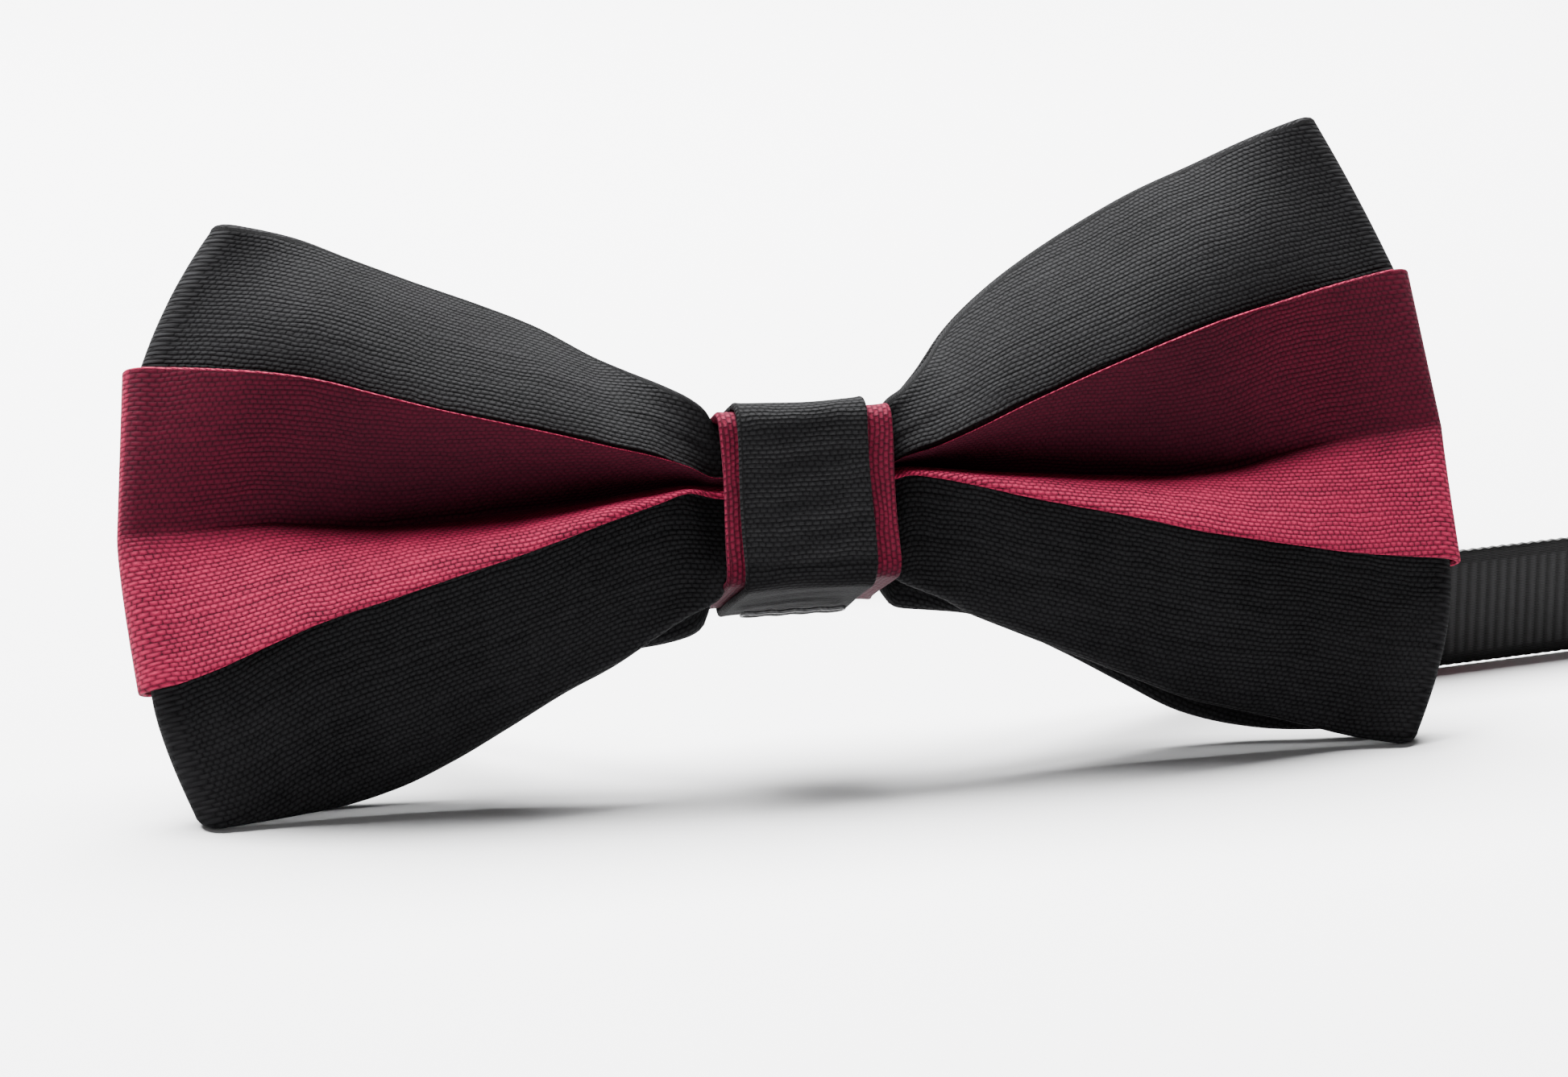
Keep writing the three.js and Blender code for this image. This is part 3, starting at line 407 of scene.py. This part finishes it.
def woven(name, light, dark, pu, pv, slub, bump, rough, sheen, sheen_tint, spec=0.25, fuzz=0.35, tint=(1, 1, 1)):
    """Plain weave over the cloth's own millimetre coordinates, with slubs along the length, uneven threads and lint."""
    mat = bpy.data.materials.new(name)
    nt, bsdf = nodes_of(mat)
    at = nt.nodes.new("ShaderNodeAttribute")
    at.attribute_name = "cloth"
    vec = at.outputs["Vector"]
    sep = nt.nodes.new("ShaderNodeSeparateXYZ")
    nt.links.new(vec, sep.inputs[0])
    u, v = sep.outputs[0], sep.outputs[1]
    wob = noise(nt, combine(nt, math_node(nt, "MULTIPLY", u, 0.25), math_node(nt, "MULTIPLY", v, 0.25)), 1.0, 2.0)
    wobv = map_range(nt, wob, 0, 1, -0.35, 0.35)
    wob2 = noise(nt, combine(nt, math_node(nt, "MULTIPLY", v, 0.3), math_node(nt, "MULTIPLY", u, 0.3), 7.0), 1.0, 2.0)
    u2 = math_node(nt, "ADD", u, map_range(nt, wob2, 0, 1, -0.3, 0.3))
    v2 = math_node(nt, "ADD", v, wobv)
    row = math_node(nt, "FLOOR", math_node(nt, "DIVIDE", v2, pv))
    shift = math_node(nt, "MULTIPLY", row, 0.5)
    sv = math_node(nt, "ABSOLUTE", math_node(nt, "SINE", math_node(nt, "MULTIPLY", v2, math.pi / pv)))
    su = math_node(nt, "ABSOLUTE", math_node(nt, "SINE", math_node(nt, "MULTIPLY", math_node(nt, "ADD", math_node(nt, "DIVIDE", u2, pu), shift), math.pi)))
    bead = math_node(nt, "MULTIPLY", math_node(nt, "POWER", sv, 0.8), math_node(nt, "POWER", su, 0.6))
    yarn = noise(nt, combine(nt, math_node(nt, "MULTIPLY", u, 0.35), math_node(nt, "MULTIPLY", row, 1.37), 1.0), 1.0, 2.0)
    over = map_range(nt, yarn, 0.3, 0.7, 0.0, 1.0)
    # slubs: thicker yarns running along the length, and fainter ones across
    s1 = noise(nt, combine(nt, math_node(nt, "MULTIPLY", u, 0.045), math_node(nt, "MULTIPLY", v, 1.5)), 1.0, 3.0, 0.6)
    s2 = noise(nt, combine(nt, math_node(nt, "MULTIPLY", u, 1.3), math_node(nt, "MULTIPLY", v, 0.06), 3.0), 1.0, 2.0, 0.5)
    slubs = math_node(nt, "ADD", map_range(nt, s1, 0.3, 0.72, -1, 1), map_range(nt, s2, 0.3, 0.72, -0.35, 0.35))
    lint = noise(nt, vec, 6.0, 3.0, 0.7)
    broad = noise(nt, vec, 0.11, 2.0)
    tone = math_node(nt, "ADD", math_node(nt, "MULTIPLY", bead, 0.66), math_node(nt, "MULTIPLY", over, 0.16))
    tone = math_node(nt, "ADD", tone, math_node(nt, "MULTIPLY", slubs, 0.10 * slub))
    tone = math_node(nt, "ADD", tone, map_range(nt, lint, 0.3, 0.75, -0.14, 0.2))
    tone = math_node(nt, "ADD", tone, map_range(nt, broad, 0.3, 0.7, -0.05, 0.07), clamp=True)
    col = mix_color(nt, tone, dark, light)
    # painted shade: the cloth attribute's third value mixes the colour towards the dark colour, up to 92 percent
    col = mix_color(nt, math_node(nt, "MULTIPLY", sep.outputs[2], 0.92, clamp=True), col, dark)
    nt.links.new(col, bsdf.inputs["Base Color"])
    h = math_node(nt, "ADD", math_node(nt, "MULTIPLY", bead, 0.75), math_node(nt, "MULTIPLY", slubs, 0.22 * slub))
    h = math_node(nt, "ADD", h, map_range(nt, lint, 0.2, 0.8, 0.0, fuzz))
    bp = nt.nodes.new("ShaderNodeBump")
    bp.inputs["Strength"].default_value = bump
    bp.inputs["Distance"].default_value = 0.00016
    nt.links.new(h, bp.inputs["Height"])
    nt.links.new(bp.outputs[0], bsdf.inputs["Normal"])
    nt.links.new(map_range(nt, lint, 0.2, 0.8, rough - 0.06, min(1.0, rough + 0.05)), bsdf.inputs["Roughness"])
    bsdf.inputs["Sheen Weight"].default_value = sheen
    bsdf.inputs["Sheen Roughness"].default_value = 0.45
    bsdf.inputs["Sheen Tint"].default_value = (*sheen_tint, 1)
    bsdf.inputs["Specular IOR Level"].default_value = spec
    bsdf.inputs["Specular Tint"].default_value = (*tint, 1)
    return mat


def ribbed(name, light, dark):
    """Grosgrain: the ribs are modelled, the fine warp yarns, the wear and painted highlights on the rib crests are
    here.
    """
    mat = bpy.data.materials.new(name)
    nt, bsdf = nodes_of(mat)
    at = nt.nodes.new("ShaderNodeAttribute")
    at.attribute_name = "cloth"
    sep = nt.nodes.new("ShaderNodeSeparateXYZ")
    nt.links.new(at.outputs["Vector"], sep.inputs[0])
    u, v, h = sep.outputs
    yarn = math_node(nt, "ABSOLUTE", math_node(nt, "SINE", math_node(nt, "MULTIPLY", v, math.pi / 0.16)))
    wear = noise(nt, at.outputs["Vector"], 2.2, 3.0, 0.65)
    broad = noise(nt, at.outputs["Vector"], 0.15, 2.0)
    # painted highlight: the rib crests (the cloth attribute's third value) are lighter in the base colour
    tone = math_node(nt, "ADD", math_node(nt, "MULTIPLY", math_node(nt, "POWER", h, 2.5), 0.75), math_node(nt, "MULTIPLY", yarn, 0.08))
    tone = math_node(nt, "ADD", tone, map_range(nt, wear, 0.3, 0.75, -0.1, 0.16))
    tone = math_node(nt, "ADD", tone, map_range(nt, broad, 0.3, 0.7, -0.05, 0.05), clamp=True)
    nt.links.new(mix_color(nt, tone, dark, light), bsdf.inputs["Base Color"])
    bp = nt.nodes.new("ShaderNodeBump")
    bp.inputs["Strength"].default_value = 0.5
    bp.inputs["Distance"].default_value = 0.00006
    nt.links.new(math_node(nt, "ADD", yarn, math_node(nt, "MULTIPLY", wear, 0.6)), bp.inputs["Height"])
    nt.links.new(bp.outputs[0], bsdf.inputs["Normal"])
    nt.links.new(map_range(nt, wear, 0.2, 0.8, 0.5, 0.68), bsdf.inputs["Roughness"])
    bsdf.inputs["Sheen Weight"].default_value = 0.01
    bsdf.inputs["Specular IOR Level"].default_value = 0.12
    return mat


def nickel(name):
    mat = bpy.data.materials.new(name)
    nt, bsdf = nodes_of(mat)
    tc = nt.nodes.new("ShaderNodeTexCoord")
    fine = noise(nt, tc.outputs["Object"], 2600.0, 3.0, 0.6)
    mp = nt.nodes.new("ShaderNodeMapping")
    mp.inputs["Scale"].default_value = (400, 400, 5200)
    nt.links.new(tc.outputs["Object"], mp.inputs["Vector"])
    grain = noise(nt, mp.outputs[0], 1.0, 3.0, 0.6)
    tarn = noise(nt, tc.outputs["Object"], 260.0, 3.0)
    nt.links.new(mix_color(nt, map_range(nt, tarn, 0.35, 0.7, 0.0, 1.0), (0.50, 0.48, 0.45), (0.36, 0.345, 0.32)), bsdf.inputs["Base Color"])
    bsdf.inputs["Metallic"].default_value = 1.0
    nt.links.new(map_range(nt, grain, 0.25, 0.75, 0.2, 0.38), bsdf.inputs["Roughness"])
    bp = nt.nodes.new("ShaderNodeBump")
    bp.inputs["Strength"].default_value = 0.12
    bp.inputs["Distance"].default_value = 0.00002
    nt.links.new(math_node(nt, "ADD", grain, fine), bp.inputs["Height"])
    nt.links.new(bp.outputs[0], bsdf.inputs["Normal"])
    return mat


def yarn_material(name, light, dark):
    mat = bpy.data.materials.new(name)
    nt, bsdf = nodes_of(mat)
    tc = nt.nodes.new("ShaderNodeTexCoord")
    n = noise(nt, tc.outputs["Object"], 3200.0, 3.0, 0.6)
    w = nt.nodes.new("ShaderNodeTexWave")
    w.inputs["Scale"].default_value = 900.0
    w.inputs["Distortion"].default_value = 3.0
    w.bands_direction = "DIAGONAL"
    nt.links.new(tc.outputs["Object"], w.inputs["Vector"])
    nt.links.new(mix_color(nt, math_node(nt, "MULTIPLY", w.outputs["Fac"], n), dark, light), bsdf.inputs["Base Color"])
    bsdf.inputs["Roughness"].default_value = 0.65
    bp = nt.nodes.new("ShaderNodeBump")
    bp.inputs["Strength"].default_value = 0.6
    bp.inputs["Distance"].default_value = 0.00006
    nt.links.new(w.outputs["Fac"], bp.inputs["Height"])
    nt.links.new(bp.outputs[0], bsdf.inputs["Normal"])
    return mat


BLACK = woven("black_cloth", (0.0105, 0.0105, 0.0111), (0.0009, 0.0009, 0.0010), 0.66, 0.42, 1.0, 0.85, 0.85, 0.004, (0.6, 0.6, 0.62), spec=0.03)
BURGUNDY = woven("burgundy_cloth", (0.28, 0.0150, 0.048), (0.013, 0.0032, 0.0056), 0.62, 0.42, 0.8, 0.8, 0.75, 0.004, (1.0, 0.45, 0.6), spec=0.03, tint=(1.0, 0.35, 0.5))
GROSGRAIN = ribbed("grosgrain", (0.015, 0.015, 0.0153), (0.0008, 0.0008, 0.0008))
NICKEL = nickel("nickel")
THREAD = yarn_material("thread", (0.03, 0.03, 0.032), (0.006, 0.006, 0.006))


def finish_with(ob, mat, body=None):
    ob.data.materials.clear()
    ob.data.materials.append(mat)
    if body:
        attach(ob, body)
    return ob


# ---------- bow ----------
def shell_wrinkles(P, D):
    """Soft gathers that fan out of the knot, and the slight unevenness of a hand-dressed wing."""
    u, t = P[..., 0], P[..., 1]
    d = np.abs(u - KNOT_X)
    col = np.linspace(0, 1, P.shape[1])[None, :]
    g = np.exp(-np.clip(d - 7.5, 0, None) / 9.0) * smooth(6.5, 8.5, d)
    side = np.where(u < KNOT_X, 1.3, 0.2)
    w = np.where(D[..., 2] < 0, 0.05, 0.4) * g * (np.sin(col * 43 + side) + 0.6 * np.sin(col * 71 + 2.1 * side))
    w += 0.20 * smooth(12, 26, d) * (1 - smooth(44, 54, d)) * np.sin(col * 8.0 + u * 0.16 + side)
    P = P.copy()
    P += D * w[..., None] * 0.8
    return P


shell = strip_object("bow_cloth", "shell", SHELL_COLS, 1.5, 0.75, 110, 80, 14, shell_wrinkles)
finish_with(shell, BLACK, "bow")
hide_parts("bow_shell", "bow_interlining")


def accent_wrinkles(P, D):
    u = P[..., 0]
    d = np.abs(u - KNOT_X)
    col = np.linspace(0, 1, P.shape[1])[None, :]
    w = 0.12 * smooth(12, 26, d) * (1 - smooth(46, 54, d)) * np.sin(col * 9.0 + u * 0.14)
    return P + D * w[..., None]


accent = strip_object("accent_cloth", "accent", ACCENT_COLS, 0.6, 0.3, 110, 80, 14, accent_wrinkles)
finish_with(accent, BURGUNDY, "bow")
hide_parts("accent_band")


# ---------- knot ----------
def knot_ring(name, x0, x1, front, back, half, thick, rf, rb, mat, node, slant=0.0, pinch=0.0):
    """A turned-edge cloth strip wound once round the waist."""
    def outline(inset, n=200):
        a0, a1, h = front + inset, back - inset, half - inset
        r1, r2 = max(0.5, rf - inset), max(0.5, rb - inset)
        pts = []
        for cx, cy, r, s in ((a1 - r2, -h + r2, r2, -90), (a1 - r2, h - r2, r2, 0), (a0 + r1, h - r1, r1, 90), (a0 + r1, -h + r1, r1, 180)):
            for k in range(13):
                a = math.radians(s + 90 * k / 12)
                pts.append((cx + r * math.cos(a), cy + r * math.sin(a)))
        pts = np.array(pts + [pts[0]])
        d = np.concatenate([[0], np.cumsum(np.linalg.norm(np.diff(pts, axis=0), axis=1))])
        s = np.linspace(0, d[-1], n + 1)[:-1]
        return np.stack([np.interp(s, d, pts[:, 0]), np.interp(s, d, pts[:, 1])], 1), s

    N = 200
    po, s = outline(0.0, N)
    tang = np.roll(po, -1, 0) - np.roll(po, 1, 0)
    nrm = np.stack([tang[:, 1], -tang[:, 0]], 1)
    nrm /= np.linalg.norm(nrm, axis=1, keepdims=True)
    M = 26
    er = thick / 2
    # section across the strip: outer face, rolled edge, inner face, rolled edge
    w = x1 - x0
    sec = []
    for k in range(M + 1):
        q = k / M
        sec.append((x0 + er + (w - 2 * er) * q, 0.0, q))
    for k in range(1, 7):
        a = math.pi * k / 7
        sec.append((x1 - er + er * math.sin(a), -er + er * math.cos(a), 1.0))
    for k in range(M + 1):
        q = 1 - k / M
        sec.append((x0 + er + (w - 2 * er) * q, -2 * er, q))
    for k in range(1, 7):
        a = math.pi * k / 7
        sec.append((x0 + er - er * math.sin(a), -er - er * math.cos(a), 0.0))
    rings = np.zeros((N, len(sec), 3))
    uv = np.zeros((N, len(sec), 2))
    shade = np.zeros((N, len(sec)))
    acc = 0.0
    for j, (x, dn, q) in enumerate(sec):
        if j:
            acc += math.hypot(x - sec[j - 1][0], dn - sec[j - 1][1])
        edge = math.exp(-min(q, 1 - q) * w / 0.55)
        # a turned edge is a little thicker; the middle is drawn in slightly
        lift = (0.10 * edge - 0.16 * math.sin(math.pi * q) ** 2 * pinch) if dn > -er else 0.0
        rip = 0.045 * np.sin(s * 1.9 + q * 5.0) * math.sin(math.pi * q)
        p = po + nrm * (dn + lift + (rip if dn > -er else 0.0))[:, None] if isinstance(rip, np.ndarray) and dn > -er else po + nrm * (dn + lift)
        t = p[:, 1] + KNOT_T
        xs = x + slant * (-(p[:, 1]) / half) + 0.10 * np.sin(s * 0.42 + (0.0 if q < 0.5 else 1.7)) * (2 * abs(q - 0.5)) ** 2
        rings[:, j] = bow(xs, t, p[:, 0])
        # the wrap's yarn rows lie across the knot, the strips' along it
        uv[:, j, 0] = acc if node == "knot_wrap" else s
        uv[:, j, 1] = s if node == "knot_wrap" else acc
        # painted shade: the burgundy strips are darkened all over (0.68) and fully on their underside, the black wrap
        # up to 0.9 on its underside
        under_side = np.clip((-half + 1.2 - p[:, 1]) / 1.2, 0, 1)
        shade[:, j] = (0.68 + 0.32 * under_side) if node == "knot_underwrap" else 0.9 * under_side
    # ring order must turn the faces outwards
    ob = ring_mesh(name, rings[:, ::-1], uv[:, ::-1], -2.0, closed_path=True, shade=shade[:, ::-1])
    finish_with(ob, mat, "bow")
    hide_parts(node)
    return ob


KB = 6.8
wrap = knot_ring("knot_cloth", KNOT_X - 5.7, KNOT_X + 5.7, -8.4, KB, 8.2, 0.6, 2.3, 1.6, BLACK, "knot_wrap", slant=-0.25, pinch=1.0)
under = knot_ring("knot_under_cloth", KNOT_X - 7.05, KNOT_X + 7.95, -7.7, KB - 0.7, 7.5, 0.6, 1.7, 1.0, BURGUNDY, "knot_underwrap", slant=-0.2, pinch=0.3)


# ---------- neck band ----------
def catmull(rows, per):
    """Centripetal curve through rows of any width."""
    P = np.asarray(rows, float)
    P = np.concatenate([[2 * P[0] - P[1]], P, [2 * P[-1] - P[-2]]])
    out = []
    for i in range(1, len(P) - 2):
        p0, p1, p2, p3 = P[i - 1 : i + 3]
        t0 = 0.0
        t1 = t0 + np.linalg.norm((p1 - p0)[:3]) ** 0.5
        t2 = t1 + np.linalg.norm((p2 - p1)[:3]) ** 0.5
        t3 = t2 + np.linalg.norm((p3 - p2)[:3]) ** 0.5
        for t in np.linspace(t1, t2, per, endpoint=False):
            a1 = (t1 - t) / (t1 - t0) * p0 + (t - t0) / (t1 - t0) * p1
            a2 = (t2 - t) / (t2 - t1) * p1 + (t - t1) / (t2 - t1) * p2
            a3 = (t3 - t) / (t3 - t2) * p2 + (t - t2) / (t3 - t2) * p3
            b1 = (t2 - t) / (t2 - t0) * a1 + (t - t0) / (t2 - t0) * a2
            b2 = (t3 - t) / (t3 - t1) * a2 + (t - t1) / (t3 - t1) * a3
            out.append((t2 - t) / (t2 - t1) * b1 + (t - t1) / (t2 - t1) * b2)
    out.append(P[-2])
    return np.array(out)


def arc(cx, cy, r, a0, a1, n, z):
    return [[cx + r * math.cos(math.radians(a0 + (a1 - a0) * i / n)), cy + r * math.sin(math.radians(a0 + (a1 - a0) * i / n)), z, 0] for i in range(n + 1)]


Z2 = 2.0


def knot_run(x):
    p = bow(np.array(x, float), np.array(18.1), np.array(4.4))
    return [x, float(p[1]), float(p[2]), 26]


BAND = (
    [[118, 61.35, Z2, 0], [113.5, 61.35, Z2, 0], [110.6, 60.45, Z2, 0]]
    + arc(EYE_BAR_X, CLASP_Y, 1.75, -90, -270, 10, Z2)
    + [[110.6, 63.62, Z2, 0], [113.5, 62.45, 2.0, 0], [118, 62.45, 2.0, 0], [126.5, 60.4, 1.6, 0], [132.4, 54.6, 1.0, 0], [134.6, 46.3, 0.4, 0], [132.6, 38.2, 0, 0], [126.8, 32.4, 0, 0],
       [118, 30.1, 0, 0], [108, 28.45, 0, 0], [96, 26.47, 0, 0], [84, 24.49, 0, 0], [72, 22.51, 0, 0], [64, 21.19, 0, 0], [58, 20.2, 0.1, 2],
       [51, 19.2, 0.9, 7], [44, 18.5, 2.6, 13], [36, 17.4, 5.6, 18], [28, 15.9, 9.2, 22], [20, 13.6, 12.4, 25], [15, 12.35, 14.2, 26]]
    + [knot_run(11.5), knot_run(8), knot_run(-7.5), knot_run(-11)]
    + [[-15, 12.4, 14.1, 26], [-20, 14.2, 11.9, 23], [-26, 17.8, 8.2, 16], [-32, 23.2, 4.2, 9], [-36.6, 30.6, 1.6, 3], [-38.6, 39, 0.4, 0],
       [-37.2, 48, 0.6, 0], [-32.2, 56, 1.2, 0], [-24, 61.6, 1.8, 0], [-15.5, 63.6, 2.0, 0], [-9, OUTER_Y, 2.0, 0], [10, OUTER_Y, 2.0, 0], [26, OUTER_Y, 2.0, 0], [43, OUTER_Y, 2.0, 0]]
)
RIB = 1.05
COLW = np.array([0.0, 0.12, 0.5, 1.05, 1.3, 2.6, 4.2, 5.5, 6.8, 8.4, 9.7, 9.95, 10.5, 10.88, 11.0])


def ribbon_object(name, rows, body, node, s0=0.0, smooth_path=True, cut=(False, False)):
    pts = catmull(rows, 14) if smooth_path else np.array(rows, float)
    d = np.concatenate([[0], np.cumsum(np.linalg.norm(np.diff(pts[:, :3], axis=0), axis=1))])
    n = max(8, int(d[-1] / (RIB / 6)))
    s = np.linspace(0, d[-1], n + 1)
    q = np.stack([np.interp(s, d, pts[:, k]) for k in range(4)], 1)
    q[:, 2] = np.maximum(q[:, 2], 0)
    for _ in range(3):
        q[1:-1, :3] = 0.5 * q[1:-1, :3] + 0.25 * (q[:-2, :3] + q[2:, :3])
    tan = np.gradient(q[:, :3], axis=0)
    tan /= np.linalg.norm(tan, axis=1, keepdims=True)
    lean = np.radians(q[:, 3])
    up = np.stack([0 * lean, np.sin(lean), np.cos(lean)], 1)
    side = np.cross(tan, up)
    side /= np.linalg.norm(side, axis=1, keepdims=True)
    S = s + s0
    rib = np.abs(np.cos(math.pi * S / RIB)) ** 0.65
    rings, uv = [], []
    for sgn, cols in ((1, COLW), (-1, COLW[::-1])):
        for w in cols:
            edge = min(w, BAND_W - w)
            k = float(np.clip((edge - 0.95) / 0.35, 0, 1))
            k = k * k * (3 - 2 * k)
            h = BAND_T / 2 - 0.16 + 0.16 * rib * k + 0.05 * (1 - k)
            if edge < 0.1:
                h = h * 0.45
            scal = 0.05 * np.cos(2 * math.pi * S / RIB) * (1 if edge < 0.2 else 0) * (-1 if w < 1 else 1)
            p = q[:, :3] + up * (np.clip(w + scal, 0.0, BAND_W + 0.05))[:, None] + side * (sgn * h)[:, None]
            rings.append(p)
            # third value: rib crest height, painted lighter in the grosgrain colour as a highlight
            uv.append(np.stack([S, np.full_like(S, w), rib * k + 0.35 * (1 - k)], 1))
    ring = np.stack(rings, 1)
    uv3 = np.stack(uv, 1)
    R, m = ring.shape[:2]
    verts = to_row(ring.reshape(-1, 3))
    faces, cl = [], []
    for i in range(R - 1):
        for j in range(m):
            k = (j + 1) % m
            faces.append((i * m + j, (i + 1) * m + j, (i + 1) * m + k, i * m + k))
            cl += [uv3[i, j], uv3[i + 1, j], uv3[i + 1, k], uv3[i, k]]
    for o, i, flip in ((0, 0, False), ((R - 1) * m, R - 1, True)):
        for j in range(m // 2 - 1):
            f = [j, j + 1, m - 2 - j, m - 1 - j]
            if flip:
                f = f[::-1]
            faces.append(tuple(o + x for x in f))
            cl += [uv3[i, x] for x in f]
    ob = mesh_object(name, verts, faces, np.array(cl))
    ob.data.materials.append(GROSGRAIN)
    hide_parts(node)
    if body:
        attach(ob, body)
    return ob, s[-1]


neck, neck_len = ribbon_object("neck_band", BAND, "neckband", "neck_ribbon")
ply, ply_len = ribbon_object("band_outer_ply", [[43 + k, OUTER_Y, Z2, 0] for k in np.linspace(0, 15, 16)], None, "ribbon_outer_ply", s0=neck_len, smooth_path=False)
hook_path = [[58, OUTER_Y, Z2, 0], [60.5, OUTER_Y, Z2, 0]] + arc(HOOK_BAR_X, CLASP_Y, 1.75, 90, -90, 10, Z2) + [[60.5, INNER_Y, Z2, 0], [58, INNER_Y, Z2, 0]]
fold, fold_len = ribbon_object("band_hook_fold", hook_path, "hook_end", "ribbon_hook_fold", s0=neck_len + ply_len)
inner, inner_len = ribbon_object("band_inner_ply", [[58 - k, INNER_Y, Z2, 0] for k in np.linspace(0, 22, 23)], None, "ribbon_inner_ply", s0=neck_len + ply_len + fold_len, smooth_path=False)
sewn_path = [[36, INNER_Y, Z2, 0], [32, INNER_Y, Z2, 0]] + arc(SLIDE_X, INNER_Y + 1.2, 1.2, -90, -270, 10, Z2) + [[32, INNER_Y + 2.4, Z2, 0], [35.5, INNER_Y + 2.4, Z2, 0]]
sewn, sewn_len = ribbon_object("band_sewn_end", sewn_path, "slider", "ribbon_sewn_end", s0=neck_len + ply_len + fold_len + inner_len)
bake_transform(ply)
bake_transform(inner)

# ---------- metal and threads ----------
for node in ("clasp_eye", "clasp_hook", "adjuster_slide"):
    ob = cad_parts[node]
    ob.data.materials.clear()
    ob.data.materials.append(NICKEL)
    b = ob.modifiers.new("edge", "BEVEL")
    b.width, b.segments, b.limit_method, b.angle_limit = 0.00018, 2, "ANGLE", math.radians(40)
    b.harden_normals = False
for node in ("knot_seam_stitches", "eye_tack_stitches", "adjuster_tack_stitches"):
    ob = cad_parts[node]
    ob.data.materials.clear()
    ob.data.materials.append(THREAD)
    for p in ob.data.polygons:
        p.use_smooth = True

# ---------- surface, light and camera ----------
bpy.ops.mesh.primitive_plane_add(size=6.0, location=(0, 0, -0.0002))
floor = bpy.context.object
floor.name = "surface"
fm = bpy.data.materials.new("pale_surface")
nt, bs = nodes_of(fm)
bs.inputs["Base Color"].default_value = (0.46, 0.46, 0.465, 1)
bs.inputs["Roughness"].default_value = 0.9
bs.inputs["Specular IOR Level"].default_value = 0.1
floor.data.materials.append(fm)


def area_light(name, loc, target, size, power, color=(1, 1, 1)):
    data = bpy.data.lights.new(name, "AREA")
    data.shape = "RECTANGLE"
    data.size, data.size_y = size
    data.energy = power
    data.color = color
    ob = bpy.data.objects.new(name, data)
    ob.location = loc
    ob.rotation_euler = (Vector(target) - Vector(loc)).to_track_quat("-Z", "Y").to_euler()
    bpy.context.scene.collection.objects.link(ob)
    return ob


bow_mid = to_row([1, 10, 25])
area_light("overhead", (float(bow_mid[0]) - 0.06, float(bow_mid[1]) + 0.34, 0.70), tuple(bow_mid), (0.9, 0.5), 125.0)
area_light("front_fill", (float(bow_mid[0]) - 0.35, float(bow_mid[1]) - 0.8, 0.45), tuple(bow_mid), (0.8, 0.6), 3.8)
world = bpy.data.worlds.new("studio")
bpy.context.scene.world = world
world.use_nodes = True
bg = world.node_tree.nodes["Background"]
bg.inputs["Color"].default_value = (1, 1, 1, 1)
bg.inputs["Strength"].default_value = 0.03

AZ, EL, DIST, TARGET = math.radians(-12.42), math.radians(16.0), 400.0, (0.97, 14.0, 18.3)
b = np.array([math.sin(AZ) * math.cos(EL), -math.cos(AZ) * math.cos(EL), math.sin(EL)])
loc = to_row(np.array(TARGET) + DIST * b)
cam_data = bpy.data.cameras.new("camera")
cam_data.lens = 105.08
cam_data.sensor_width = 36.0
cam_data.clip_start, cam_data.clip_end = 0.02, 20.0
cam = bpy.data.objects.new("camera", cam_data)
bpy.context.scene.collection.objects.link(cam)
cam.location = tuple(loc)
cam.rotation_euler = Vector(tuple(-b)).to_track_quat("-Z", "Y").to_euler()
bpy.context.scene.camera = cam
